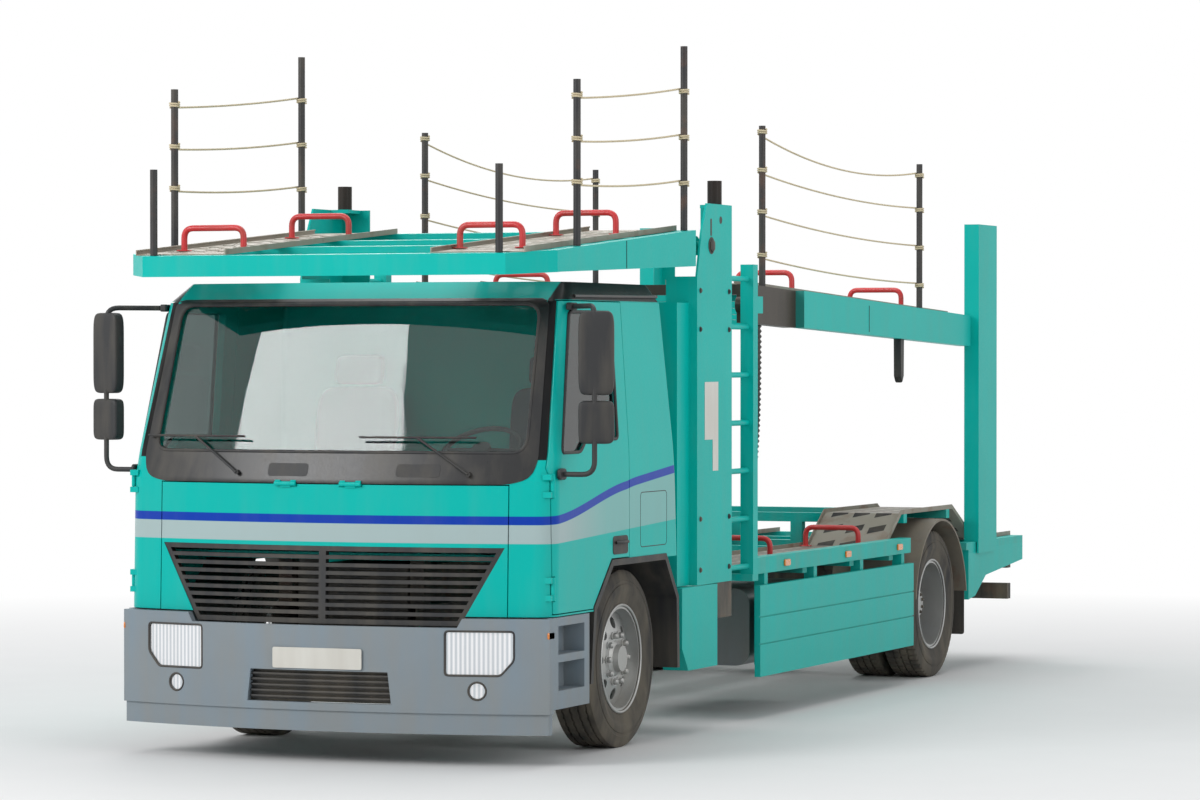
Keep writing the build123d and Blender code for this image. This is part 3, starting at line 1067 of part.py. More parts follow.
twin_tyres = [on_axle(tyre_ring(TWIN_TYRE_WIDTH, TWIN_TREAD_WIDTH, x), REAR_AXLE_STATION)
              for x in (TWIN_INNER_CENTRE, TWIN_OUTER_CENTRE)]
sided = {
    "door": [door],
    "door_glass": [make_door_glass()],
    "mirror": [make_mirror()],
    "knuckle": [make_knuckle()],
    "front_tyre": [front_tyre],
    "front_rim": [on_axle(make_front_rim(), FRONT_AXLE_STATION)],
    "rear_tyres": twin_tyres,
    "rear_rims": [on_axle(make_rear_rim(), REAR_AXLE_STATION)],
}
for name, pieces in sided.items():
    NODES[name + "_left"] = pieces
    NODES[name + "_right"] = [other_side(piece) for piece in pieces]

os.makedirs("parts", exist_ok=True)
for name, pieces in NODES.items():
    node = pieces[0] if len(pieces) == 1 else Compound(children=list(pieces))
    export_step(node, f"parts/{name}.step")
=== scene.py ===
# %% [markdown]
# # Dressing a car transporter truck
# The truck's solids come from its CAD model and are loaded first. They never move: every finish and every
# extra piece below is fitted to them. Lengths are metres, the front looks to -Y and the ground is z = 0.

# %% Load the truck's frame
import math

import bpy
import numpy as np
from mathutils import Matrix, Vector


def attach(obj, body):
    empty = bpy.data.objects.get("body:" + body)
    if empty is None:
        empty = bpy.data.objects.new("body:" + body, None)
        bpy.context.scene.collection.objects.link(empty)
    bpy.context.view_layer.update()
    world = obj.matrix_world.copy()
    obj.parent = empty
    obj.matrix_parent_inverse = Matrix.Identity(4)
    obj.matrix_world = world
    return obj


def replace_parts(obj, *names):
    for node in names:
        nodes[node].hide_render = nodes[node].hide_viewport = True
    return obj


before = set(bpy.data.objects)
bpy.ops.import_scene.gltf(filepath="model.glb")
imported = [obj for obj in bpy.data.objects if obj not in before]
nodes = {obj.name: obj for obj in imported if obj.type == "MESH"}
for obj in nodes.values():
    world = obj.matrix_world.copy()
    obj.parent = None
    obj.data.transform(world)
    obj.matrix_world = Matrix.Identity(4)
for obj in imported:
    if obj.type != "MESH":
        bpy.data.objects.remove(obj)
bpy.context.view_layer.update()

# %% [markdown]
# Places along a truck are easiest to say as stations, measured rearward from the front bumper. The CAD origin
# lies halfway along, so one short function turns a station into a Y coordinate.

# %% Stations and main heights
HALF_LENGTH = 4.5
FRONT_AXLE = 1.475
REAR_AXLE = 7.03
WHEEL_HEIGHT = 0.487
BODY_SIDE = 1.250
CAB_SIDE = 1.245


def y_at(station):
    """The Y coordinate of a station measured rearward from the front bumper."""
    return station - HALF_LENGTH


print("front axle at y", round(y_at(FRONT_AXLE), 3), "rear axle at y", round(y_at(REAR_AXLE), 3))

# %% [markdown]
# The photograph was taken from standing height, well ahead of the truck and to its left side. A long lens keeps
# that viewpoint and fills the frame with the whole truck, so the shapes overlap as they do there.

# %% Camera
CAMERA_PLACE = (9.78, -24.80, 2.16)
CAMERA_TARGET = (0.10, -0.75, 1.88)
CAMERA_LENS = 128.0


def put(name, data, place, target):
    """A new object in the scene, at a place and looking at a target along its own -Z."""
    obj = bpy.data.objects.new(name, data)
    obj.location = place
    obj.rotation_euler = (Vector(target) - Vector(place)).to_track_quat("-Z", "Y").to_euler()
    bpy.context.scene.collection.objects.link(obj)
    return obj


camera_data = bpy.data.cameras.new("camera")
camera_data.lens = CAMERA_LENS
camera_data.sensor_width = 36.0
camera_data.clip_end = 300.0
bpy.context.scene.camera = put("camera", camera_data, CAMERA_PLACE, CAMERA_TARGET)
bpy.context.scene.view_settings.view_transform = "Standard"
print("camera distance", round(math.dist(CAMERA_PLACE, CAMERA_TARGET), 2))

# %% [markdown]
# A small class keeps the shader maths readable. It holds one output socket, its operators add Math nodes, and
# one method adds any other node: settings first, then the values or links of the node's sockets.

# %% A socket that does arithmetic
class Wire:
    """One output socket of a node tree, which can be added, subtracted and multiplied."""

    def __init__(self, tree, socket):
        self.tree = tree
        self.socket = socket

    def make(self, kind, settings=(), sockets=(), output=0):
        """A new node of a kind, with its settings, its sockets' values or links, and the output to go on with."""
        node = self.tree.nodes.new(kind)
        for name, value in dict(settings).items():
            setattr(node, name, value)
        for name, value in dict(sockets).items():
            if isinstance(value, Wire):
                self.tree.links.new(value.socket, node.inputs[name])
            else:
                node.inputs[name].default_value = value
        return Wire(self.tree, node.outputs[output])

    def math(self, operation, other=0.0, clamp=False):
        return self.make("ShaderNodeMath", {"operation": operation, "use_clamp": clamp}, {0: self, 1: other})

    def __add__(self, other):
        return self.math("ADD", other)

    def __sub__(self, other):
        return self.math("SUBTRACT", other)

    def __rsub__(self, other):
        return self.make("ShaderNodeMath", {"operation": "SUBTRACT"}, {0: other, 1: self})

    def __mul__(self, other):
        return self.math("MULTIPLY", other)

    __radd__ = __add__

    def clamped(self):
        return self.math("ADD", 0.0, clamp=True)

    def step(self, low, high):
        """0 below low, 1 above high, and an even ramp between them."""
        return self.make("ShaderNodeMapRange", {}, {"Value": self, "From Min": low, "From Max": high})

    def edge(self, at, soft=0.004):
        """0 below a value and 1 just above it."""
        return self.step(at, at + soft)

    def noise(self, scale, detail, stretch=(1.0, 1.0, 1.0)):
        """Cloudy noise read at this place, stretched along an axis where its factor is small."""
        place = self.make("ShaderNodeMapping", {}, {"Vector": self, "Scale": stretch})
        return self.make("ShaderNodeTexNoise", {}, {"Vector": place, "Scale": scale, "Detail": detail}, "Fac")

    def parts(self):
        """The x, y and z of a place."""
        split = self.make("ShaderNodeSeparateXYZ", {}, {0: self})
        return [Wire(self.tree, output) for output in split.socket.node.outputs]


def blend_colours(factor, first, second):
    """A colour between two colours; a factor of 0 gives the first."""
    return factor.make("ShaderNodeMix", {"data_type": "RGBA"}, {0: factor, 6: first, 7: second}, 2)


def paint_code(red, green, blue):
    """A colour as seen on a screen, 0 to 255 each, turned into the linear light that shaders work in."""
    linear = [((part / 255 + 0.055) / 1.055) ** 2.4 if part > 10 else part / 3294.6 for part in (red, green, blue)]
    return (*linear, 1.0)


TEAL = paint_code(0, 184, 174)
print("teal in linear light", [round(part, 3) for part in TEAL])

# %% [markdown]
# Nearly every finish on a working truck has the same three layers: a base that is never quite even, dust and
# road dirt that gather low down, and a gloss that changes with both. One function lays them for all, and what a
# finish needs beyond them is passed in as a recipe.

# %% The common recipe of a worn finish
DUST = paint_code(150, 140, 122)
DARKER, PALER = 0.62, 1.38
CLOUD_SCALE, STREAK_SCALE = 2.2, 9.0
DIRTY_BELOW, CLEAN_ABOVE = 0.15, 1.5
STREAK_GAIN, LOW_GAIN = 2.6, 0.55
GLOSS_VARIES, GRIME_DULLS = 0.22, 0.45
finishes = {}


def finish(name, colour, rough, metal=0.0, dirt=0.3, coat=0.0, grain=60.0, bump=0.15, uneven=0.12, extra=None,
           shine=0.5):
    """A material: uneven colour, dust that thickens towards the ground, varied gloss and a fine bump."""
    material = bpy.data.materials.new(name)
    material.use_nodes = True
    tree = material.node_tree
    tree.nodes.clear()
    output = tree.nodes.new("ShaderNodeOutputMaterial")
    shader = tree.nodes.new("ShaderNodeBsdfPrincipled")
    tree.links.new(shader.outputs[0], output.inputs[0])
    place = Wire(tree, tree.nodes.new("ShaderNodeTexCoord").outputs["Object"])
    fine = place.noise(grain, 6.0)
    clouds = (place.noise(CLOUD_SCALE, 5.0) - 0.5) * 2.0 * uneven + 0.5
    dark, pale = ([min(1.0, part * share) for part in colour[:3]] + [1.0] for share in (DARKER, PALER))
    base = blend_colours(clouds, dark, pale)
    if extra:
        base = extra(place, base)
    streaks = (place.noise(STREAK_SCALE, 5.0, (1.0, 1.0, 0.18)) - 0.45) * STREAK_GAIN
    low = 1.0 - place.parts()[2].step(DIRTY_BELOW, CLEAN_ABOVE)
    grime = (streaks + low * LOW_GAIN).clamped() * dirt
    gloss = rough + (fine - 0.5) * GLOSS_VARIES + grime * GRIME_DULLS
    relief = place.make("ShaderNodeBump", {}, {"Strength": bump, "Distance": 0.002, "Height": fine})
    for socket, wire in (("Base Color", blend_colours(grime, base, DUST)), ("Roughness", gloss.clamped()),
                         ("Normal", relief)):
        tree.links.new(wire.socket, shader.inputs[socket])
    for socket, value in (("Metallic", metal), ("Coat Weight", coat), ("Specular IOR Level", shine)):
        shader.inputs[socket].default_value = value
    finishes[name] = material
    return material, shader, place


print("the recipe's dust in linear light", [round(part, 3) for part in DUST])

# %% [markdown]
# The cab's paint carries a livery. A blue line runs level across the front and climbs along the side, with a
# silver band under it. Both are worked out from the place on the truck: the line's height is a function of how
# far back the point lies, and the distance from that height decides the colour. A painted picture could do
# the same, but a formula stays sharp from near and needs no unwrapping.

# %% Teal paint and the cab's stripes
STRIPE_BLUE = paint_code(10, 60, 170)
STRIPE_SILVER = paint_code(168, 188, 188)
CAB_BLACK = paint_code(20, 21, 23)
CAP_BROWN = paint_code(46, 40, 38)
STRIPE_HALF = 0.021
STRIPE_HEIGHT, STRIPE_CLIMB, STRIPE_RISE = 1.288, 0.165, 0.075
BAND_HEIGHT, BAND_RISE = 1.165, 0.070
CLIMB_SPAN, RISE_SPAN, BAND_SPAN, FADE_SPAN = (0.20, 1.45), (1.30, 2.15), (0.3, 2.1), (0.4, 1.0)
FRONT_BOW, FRONT_DEPTH = 0.1129, 0.100
OUTER_FACE = 1.205
DOOR_CORNER, DOOR_LEAN = (0.318, 1.69), 0.3227
CAB_REAR = 2.050
PILLAR_INSIDE, PILLAR_LOW, SHOULDER_LOW = 1.092, 1.602, 2.446
CAP_LOW = 3.021


def teal_finish(name, rough, dirt, coat, bump, uneven, extra=None):
    """The truck's teal paint: one grain and one low shine, while wear and pattern differ."""
    finish(name, TEAL, rough, 0.0, dirt, coat, 90.0, bump, uneven, extra, 0.12)


def cab_stripes(place, base):
    """Height of the blue line's middle = STRIPE_HEIGHT, plus a smooth climb, plus an even rise to the rear. It
    and the band lie on the outside only: where station - FRONT_BOW x^2 < 0.1 on the curved front, or |x| >
    OUTER_FACE on a side. The pillar ahead of the door is black trim. The shoulder above the door is painted
    black as well: partly a black trim, partly painted shadow from the deck over the cab."""
    x, y, z = place.parts()
    across = x.math("ABSOLUTE")
    station = y + HALF_LENGTH
    front = 1.0 - (station - x * x * FRONT_BOW).edge(FRONT_DEPTH, 0.002)
    outside = (front + across.edge(OUTER_FACE, 0.002)).clamped() * (1.0 - station.edge(CAB_REAR))
    climb = station.make("ShaderNodeMapRange", {"interpolation_type": "SMOOTHSTEP"},
                         {"Value": station, "From Min": CLIMB_SPAN[0], "From Max": CLIMB_SPAN[1],
                          "To Max": STRIPE_CLIMB})
    above = z - (climb + STRIPE_HEIGHT + station.step(*RISE_SPAN) * STRIPE_RISE)
    blue = 1.0 - above.math("ABSOLUTE").edge(STRIPE_HALF, 0.003)
    lower_edge = station.step(*BAND_SPAN) * BAND_RISE + BAND_HEIGHT
    band = (0.0 - above).edge(STRIPE_HALF, 0.003) * (z - lower_edge).edge(0.0)
    fade = 1.0 - station.step(*FADE_SPAN) * 0.45
    painted = blend_colours(band * fade * outside, base, STRIPE_SILVER)
    painted = blend_colours(blue * outside, painted, STRIPE_BLUE)
    door_edge = (z - DOOR_CORNER[1]) * DOOR_LEAN + DOOR_CORNER[0]
    before_door = 1.0 - (station - door_edge).edge(-0.004, 0.002)
    pillar = z.edge(PILLAR_LOW) * before_door * across.edge(PILLAR_INSIDE)
    # Partly painted shadow: the black shoulder above the door stands for trim and for the shade under the deck over
    # the cab.
    shoulder_trim_and_shadow = z.edge(SHOULDER_LOW) * across.edge(PILLAR_INSIDE, 0.008)
    return blend_colours((pillar + shoulder_trim_and_shadow).clamped(), painted, CAB_BLACK)


def dark_cap(place, base):
    """The columns' paint ends where their dark caps begin."""
    return blend_colours(place.parts()[2].edge(CAP_LOW, 0.003), base, CAP_BROWN)


teal_finish("cab_paint", 0.36, 0.06, 0.05, 0.04, 0.05, cab_stripes)
teal_finish("teal_paint", 0.42, 0.09, 0.04, 0.08, 0.09)
teal_finish("column_paint", 0.42, 0.10, 0.04, 0.08, 0.10, dark_cap)
print("stripe finishes:", sorted(finishes))

# %% [markdown]
# The decks are bare and galvanised steel, scrubbed pale by wheels and browned where water stands. One noise
# stands for the scrubbing, and rust is a second one that only shows above a threshold. The lower deck's tracks
# are one solid with its teal beams, so its finish works out where a track lies and paints steel there, with its
# slots near-black: painted shade in place of holes.

# %% Rust and the decks' paint
RUST = paint_code(112, 70, 44)
BARE_STEEL = (150, 145, 133)
DARK_STEEL = paint_code(66, 60, 54)
# Painted shade: the near-black that fills the lower deck's slots in place of holes.
SLOT_SHADE = paint_code(16, 15, 14)
SIDE_BEAMS_START = -0.142
DECK_HEIGHT = 0.9
WHEEL_RISE, WHEEL_SPAN = 0.204, (6.15, 6.48)
TAIL_DROP, TAIL_SPAN = 0.234, (7.60, 8.10)
TRACK_INSIDE, TRACK_OUTSIDE, SLOTS_START = 0.5992, 1.1403, 0.795
SLOT_PITCH = 0.160
SLOT_COLUMN_PITCH = 0.150


def rust_spots(amount):
    """A recipe that lays rust over a finish, as strong as the amount."""
    return lambda place, base: blend_colours(place.noise(7.0, 8.0).step(0.56, 0.70) * amount, base, RUST)


def two_tone_deck(place, base):
    """Upper deck frame: dark steel ahead of the side beams, teal paint on them."""
    return blend_colours(1.0 - place.parts()[1].edge(SIDE_BEAMS_START), base, DARK_STEEL)


def steel_tracks(place, base):
    """Lower deck: teal beams, and steel tracks from 0.6 to 1.14 out. The tracks' height rises over the wheels
    and drops at the tail. Slots repeat across and along, leaning 18 mm over their half, painted near-black as
    painted shade where holes would be."""
    x, y, z = place.parts()
    across = x.math("ABSOLUTE")
    station = y + HALF_LENGTH
    over = z - (DECK_HEIGHT + station.step(*WHEEL_SPAN) * WHEEL_RISE - station.step(*TAIL_SPAN) * TAIL_DROP)
    between = across.edge(TRACK_INSIDE, 0.0005) * (1.0 - across.edge(TRACK_OUTSIDE, 0.0005))
    on_track = between * over.step(-0.0012, -0.0004)
    spots = place.noise(7.0, 8.0).step(0.52, 0.70) * 0.55
    steel = blend_colours(spots, paint_code(*BARE_STEEL), RUST)
    u = (across - SLOTS_START).math("FLOORED_MODULO", SLOT_COLUMN_PITCH) - SLOT_COLUMN_PITCH / 2
    v = (station - u * 0.33).math("FLOORED_MODULO", SLOT_PITCH) - SLOT_PITCH / 2
    # The slots are painted near-black: painted shade where the holes would be.
    inside = (1.0 - u.math("ABSOLUTE").step(0.052, 0.055)) * (1.0 - v.math("ABSOLUTE").step(0.029, 0.032))
    rows = across.step(0.660, 0.662) * (1.0 - across.step(1.078, 1.080)) * (1.0 - over.step(0.0075, 0.009))
    return blend_colours(on_track, base, blend_colours(inside * rows, steel, SLOT_SHADE))


teal_finish("upper_paint", 0.42, 0.10, 0.04, 0.08, 0.09, two_tone_deck)
teal_finish("lower_paint", 0.45, 0.24, 0.05, 0.10, 0.09, steel_tracks)
print("finishes so far:", len(finishes))

# %% [markdown]
# Bare steel, trims, castings and cloth differ only in a few numbers, so a table holds them. Rubber is matt and
# never quite black, and road dust clings to it, so its dirt is high. Lamps are moulded lenses over a bright bowl:
# a metallic base under a clear coat gives both, and fine vertical flutes are painted highlights in its colour. A
# radiator's fins are finer than a pixel and are waves in its colour too, with painted shade in their gaps.

# %% Trims, rubber and lamps
# The waves are in radians per metre, so 1400 makes a fin every 4.5 mm.
FIN_WAVE, TUBE_WAVE, FLUTE_WAVE = 1400.0, 420.0, 260.0


def fins_and_gap_shade(place, base):
    """Fins as a fast wave along x and tubes as a slower one along z, with near-black painted shade in the gaps
    between them.
    """
    x, y, z = place.parts()
    fins, tubes = (x * FIN_WAVE).math("SINE"), (z * TUBE_WAVE).math("SINE")
    return blend_colours((fins * 0.25 + tubes * 0.35 + 0.5).clamped(), paint_code(14, 14, 15), base)


def flute_highlights(place, base):
    """Painted highlights of the vertical flutes: near-white stripes whose brightness is a wave along x."""
    wave = (place.parts()[0] * FLUTE_WAVE).math("SINE")
    return blend_colours(wave * 0.5 + 0.5, base, paint_code(250, 250, 252))


# Columns: name, colour, roughness, metal, dirt, coat, grain, bump, unevenness, recipe
TRIMS = (
    ("deck_steel", BARE_STEEL, 0.52, 0.5, 0.45, 0.0, 45.0, 0.25, 0.2, rust_spots(0.55)),
    ("deck_frame", (118, 112, 102), 0.58, 0.35, 0.45, 0.0, 45.0, 0.25, 0.2, rust_spots(0.5)),
    ("frame_black", (38, 38, 40), 0.62, 0.0, 0.5, 0.0, 70.0, 0.3, 0.12, rust_spots(0.35)),
    ("trim_black", (34, 35, 37), 0.55, 0.0, 0.2, 0.0, 400.0, 0.35),
    ("gloss_black", (20, 21, 23), 0.32, 0.0, 0.18, 0.0, 120.0, 0.05),
    ("radiator", (74, 76, 78), 0.5, 0.5, 0.35, 0.0, 300.0, 0.3, 0.12, fins_and_gap_shade),
    ("bumper_grey", (126, 140, 150), 0.55, 0.0, 0.3, 0.0, 420.0, 0.3),
    ("post_black", (30, 30, 32), 0.48, 0.0, 0.25, 0.0, 80.0, 0.2, 0.12, rust_spots(0.3)),
    ("stop_red", (206, 40, 44), 0.45, 0.0, 0.2, 0.2, 80.0, 0.12, 0.12, rust_spots(0.4)),
    ("cast_iron", (70, 66, 62), 0.66, 0.4, 0.6, 0.0, 110.0, 0.5, 0.12, rust_spots(0.6)),
    ("wheel_silver", (176, 178, 178), 0.36, 0.75, 0.3, 0.0, 70.0, 0.1),
    ("tank_metal", (150, 154, 158), 0.40, 0.7, 0.35, 0.0, 60.0, 0.08),
    ("seat_fabric", (70, 74, 82), 0.88, 0.0, 0.08, 0.0, 900.0, 0.6),
    ("cab_plastic", (62, 64, 68), 0.62, 0.0, 0.1, 0.0, 500.0, 0.3),
    ("rope_fibre", (206, 192, 160), 0.85, 0.0, 0.15, 0.0, 900.0, 0.5),
    ("amber_lens", (244, 128, 16), 0.25, 0.0, 0.1, 0.6, 300.0, 0.3),
    ("pale_strip", (216, 214, 206), 0.4, 0.0, 0.2, 0.0, 300.0, 0.1),
    ("mirror_glass", (214, 220, 224), 0.04, 1.0, 0.06, 0.0, 20.0, 0.0, 0.02),
    ("tyre_rubber", (40, 40, 41), 0.78, 0.0, 0.42, 0.0, 220.0, 0.3),
    ("lamp_clear", (196, 204, 210), 0.14, 0.65, 0.1, 1.0, 150.0, 0.05, 0.12, flute_highlights),
    ("lamp_red", (178, 16, 20), 0.2, 0.0, 0.12, 0.8, 300.0, 0.3),
)
for name, colour, *numbers in TRIMS:
    finish(name, paint_code(*colour), *numbers)
print("finishes so far:", len(finishes))

# %% [markdown]
# Clear glass would look like nothing, but real panes carry smears. The glass is fully transmissive, and a noise
# stretched upright varies its tint and its polish a little.

# %% Glass
def clear_sheet(name, dusty, clean):
    """Glass whose tint and polish change along smears: smears are noise stretched upright."""
    material, shader, place = finish(name, clean, 0.03, dirt=0.0, grain=30.0, bump=0.0)
    shader.inputs["Transmission Weight"].default_value = 1.0
    shader.inputs["IOR"].default_value = 1.48
    tree = material.node_tree
    tree.links.remove(shader.inputs["Normal"].links[0])
    smears = place.noise(3.0, 6.0, (1.0, 1.0, 0.35))
    tree.links.new(((smears - 0.42) * 0.22).clamped().socket, shader.inputs["Roughness"])
    tree.links.new(blend_colours(smears, dusty, clean).socket, shader.inputs["Base Color"])


clear_sheet("glass", paint_code(196, 222, 216), paint_code(226, 236, 234))
clear_sheet("dark_glass", paint_code(74, 84, 84), paint_code(96, 106, 106))
print("finishes in all but the floor's:", len(finishes))

# %% [markdown]
# Each CAD node keeps its shape and gets one finish. A table says which starts of names a finish covers, so that
# left and right twins need one entry, and the longest start wins. A few nodes are replaced further down by
# pieces with more detail.

# %% Finishes of the CAD nodes
NODE_FINISH = {
    "cab_paint": "cab_body door front_flap",
    "teal_paint": "ladders rear_columns side_panels over_cab_frame",
    "column_paint": "front_columns",
    "upper_paint": "upper_deck_frame",
    "lower_paint": "lower_deck",
    "glass": "windscreen",
    "dark_glass": "door_glass",
    "trim_black": "grille wheel_arches wipers mirror battery_box",
    "bumper_grey": "front_bumper cab_steps",
    "lamp_clear": "front_lamps",
    "lamp_red": "tail_lamps",
    "cab_plastic": "dashboard seat_frames",
    "seat_fabric": "seat_pads",
    "stop_red": "lower_wheel_stops over_cab_stops upper_stops",
    "deck_steel": "over_cab_tracks upper_tracks",
    "deck_frame": "rear_fenders",
    "post_black": "over_cab_posts upper_posts",
    "frame_black": "rear_bumper chassis_frame front_axle rear_axle leaf_springs",
    "cast_iron": "tow_coupling engine_block driveline knuckle",
    "tank_metal": "fuel_tank",
    "tyre_rubber": "front_tyre rear_tyres",
    "wheel_silver": "front_rim rear_rims",
}
STARTS = {start: name for name, starts in NODE_FINISH.items() for start in starts.split()}


def give_finish(obj, name):
    obj.data.materials.clear()
    obj.data.materials.append(finishes[name])


without = []
for node_name, node in nodes.items():
    matches = [start for start in STARTS if node_name.startswith(start)]
    if matches:
        give_finish(node, STARTS[max(matches, key=len)])
    else:
        without.append(node_name)
print("nodes without a finish:", without)

# %% [markdown]
# A studio is a floor, a pale surround and large soft lamps. The surround shows white to the camera, to mirrors
# and through glass, while its light on the truck stays moderate, so the paint keeps its colour. The floor turns
# white with distance, and the truck's shadow stays on the near part.

# %% World, floor and lamps
world = bpy.data.worlds.new("studio")
bpy.context.scene.world = world
world.use_nodes = True
sky = world.node_tree
sky.nodes.clear()
light_path = sky.nodes.new("ShaderNodeLightPath").outputs
camera_ray, glossy, through = (Wire(sky, light_path[name]) for name in
                               ("Is Camera Ray", "Is Glossy Ray", "Is Transmission Ray"))
choice = sky.nodes.new("ShaderNodeMixShader")
sky.links.new((camera_ray + glossy + through).clamped().socket, choice.inputs[0])
sky.links.new(choice.outputs[0], sky.nodes.new("ShaderNodeOutputWorld").inputs[0])
# The first lights the truck, the second is what the chosen rays see.
for socket, (colour, strength) in enumerate((((0.93, 0.96, 1.0, 1.0), 0.42), ((1.0, 1.0, 1.0, 1.0), 1.0)), 1):
    background = sky.nodes.new("ShaderNodeBackground")
    background.inputs["Color"].default_value = colour
    background.inputs["Strength"].default_value = strength
    sky.links.new(background.outputs[0], choice.inputs[socket])

FLOOR_RADIUS = 90.0
FLOOR_FADE = (4.2, 12.5)


def circle(count):
    """Angles at even steps round a circle."""
    return np.linspace(0.0, 2 * np.pi, count, endpoint=False)


rim = np.stack([FLOOR_RADIUS * np.cos(circle(96)), FLOOR_RADIUS * np.sin(circle(96)), 0 * circle(96)], 1)
floor_mesh = bpy.data.meshes.new("floor")
floor_mesh.from_pydata(rim.tolist(), [], [list(range(len(rim)))])
floor = bpy.data.objects.new("floor", floor_mesh)
bpy.context.scene.collection.objects.link(floor)
floor_finish, floor_shader, floor_place = finish("floor_finish", paint_code(240, 240, 238), 0.85, dirt=0.0,
                                                 bump=0.02, uneven=0.03)
floor_mesh.materials.append(floor_finish)
floor_tree = floor_finish.node_tree
floor_output = floor_shader.outputs[0].links[0].to_node
away = floor_place.make("ShaderNodeVectorMath", {"operation": "LENGTH"}, {0: floor_place}, 1)
white = floor_tree.nodes.new("ShaderNodeEmission")
floor_mix = floor_tree.nodes.new("ShaderNodeMixShader")
for socket, source in enumerate((away.step(*FLOOR_FADE).socket, floor_shader.outputs[0], white.outputs[0])):
    floor_tree.links.new(source, floor_mix.inputs[socket])
floor_tree.links.new(floor_mix.outputs[0], floor_output.inputs[0])

# Columns: name, place, target, size, watts
LAMPS = (
    ("front_lamp", (-8.0, -17.0, 9.5), (0.0, -2.0, 1.5), 9.0, 1500.0),
    ("side_lamp", (14.0, -7.0, 7.0), (0.0, 0.5, 1.6), 9.0, 480.0),
    ("top_lamp", (0.0, 2.0, 13.0), (0.0, 0.0, 1.0), 12.0, 750.0),
    ("back_lamp", (-10.0, 14.0, 9.0), (0.0, 2.0, 1.5), 9.0, 520.0),
)
for name, spot, target, size, watts in LAMPS:
    lamp_data = bpy.data.lights.new(name, "AREA")
    lamp_data.energy = watts
    lamp_data.shape = "DISK"
    lamp_data.size = size
    put(name, lamp_data, spot, target)
print("lamps:", [row[0] for row in LAMPS])

# %% [markdown]
# New pieces are made of grids: rows of points whose neighbours are joined by faces. A tyre, a rope, a nut and a
# seat pad differ only in how their points are laid out, so one function closes any grid into a shell and turns
# it outward by the sign of its volume.

# %% Points and shells
def xyz(x, y, z):
    """Points from their coordinates, any of which may be one number for all."""
    return np.stack(np.broadcast_arrays(x, y, z), -1)


def unit(vectors):
    """Vectors brought to a length of one."""
    return vectors / np.linalg.norm(vectors, axis=-1, keepdims=True)


def shell(points, ring=False):
    """Vertices and faces of a grid (row, column, xyz). Columns close on themselves, rows do so on a ring;
    otherwise both ends get a flat cap. Volume = sum of a.(b x c) / 6 over triangles, and a negative one flips."""
    rows, columns = points.shape[:2]
    corners = points.reshape(-1, 3)
    row, column = np.meshgrid(np.arange(rows if ring else rows - 1), np.arange(columns), indexing="ij")
    after = (column + 1) % columns
    below = (row + 1) % rows
    quads = np.stack([row * columns + column, row * columns + after, below * columns + after,
                      below * columns + column], -1).reshape(-1, 4)
    first, second, third, fourth = (corners[quads[:, k]] - corners.mean(0) for k in range(4))
    volume = (first * np.cross(second, third)).sum() + (first * np.cross(third, fourth)).sum()
    faces = quads.tolist()
    if not ring:
        faces.append(list(range(columns))[::-1])
        faces.append(list(range((rows - 1) * columns, rows * columns)))
    if volume < 0:
        faces = [face[::-1] for face in faces]
    return corners, faces


def tube(path, radius, sides=12):
    """A round bar along points: a circle in the plane across the path, carried on without twist."""
    path = np.asarray(path, float)
    along = unit(np.gradient(path, axis=0))
    side = np.cross(along[0], (0.0, 0.0, 1.0) if abs(along[0][2]) < 0.9 else (1.0, 0.0, 0.0))
    angle = circle(sides)
    rows = []
    for point, heading in zip(path, along):
        side = unit(side - heading * (side @ heading))
        third = np.cross(heading, side)
        rows.append(point + radius * (np.outer(np.cos(angle), side) + np.outer(np.sin(angle), third)))
    return shell(np.array(rows))


print("a tube of ten points has", len(tube(np.linspace((0, 0, 0), (1, 0, 0), 10), 0.01)[1]), "faces")

# %% [markdown]
# Plates are outlines drawn out to a thickness, and their corners are rounded by a simple curve. The same curve
# bends a bar's path.

# %% Outlines, plates and bends
def curve(before, corner, after, radius, count):
    """(1-t)^2 a + 2t(1-t) b + t^2 c about a corner b, where a and c lie a radius away, before and after it."""
    t = np.linspace(0, 1, count)[:, None]
    start, stop = (corner + (end - corner) * min(0.45, radius / np.linalg.norm(end - corner))
                   for end in (before, after))
    return (1 - t) ** 2 * start + 2 * t * (1 - t) * corner + t ** 2 * stop


def rounded(points, radius, count=6):
    """A closed outline with its corners replaced by curves."""
    points = np.asarray(points, float)
    corners = zip(np.roll(points, 1, 0), points, np.roll(points, -1, 0))
    return np.concatenate([curve(*corner, radius, count) for corner in corners])


def bent(points, radius, count=8):
    """An open path through points with a curve at each inner one."""
    points = np.asarray(points, float)
    curves = [curve(*corner, radius, count) for corner in zip(points, points[1:], points[2:])]
    return np.concatenate([points[:1], *curves, points[-1:]])


def rectangle(left, right, low, high, radius):
    """A rounded rectangle, as an outline (u, v)."""
    return rounded(((left, low), (right, low), (right, high), (left, high)), radius)


def slab(outline, low, high, edge, lay):
    """A plate over an outline (u, v) from low to high, its rims drawn in by edge. lay turns (u, v, w) to xyz."""
    outline = np.asarray(outline, float)
    middle = outline.mean(0)
    reach = np.abs(outline - middle).max()
    rows = []
    for level, share in ((low, 1 - edge / reach), (low + edge, 1.0), (high - edge, 1.0), (high, 1 - edge / reach)):
        flat = middle + (outline - middle) * share
        rows.append(xyz(flat[:, 0], flat[:, 1], level))
    return shell(lay(np.array(rows)))


def along_x(station, height, x=0.0):
    """A lay for slabs on a face square to X: (u, v, w) becomes (w, station + u, height + v)."""
    return lambda p: xyz(p[..., 2] + x, p[..., 0] + y_at(station), p[..., 1] + height)


def along_y(p):
    """A lay for slabs on a face square to Y: (u, v, w) becomes (u, the station w, v)."""
    return xyz(p[..., 0], y_at(p[..., 2]), p[..., 1])


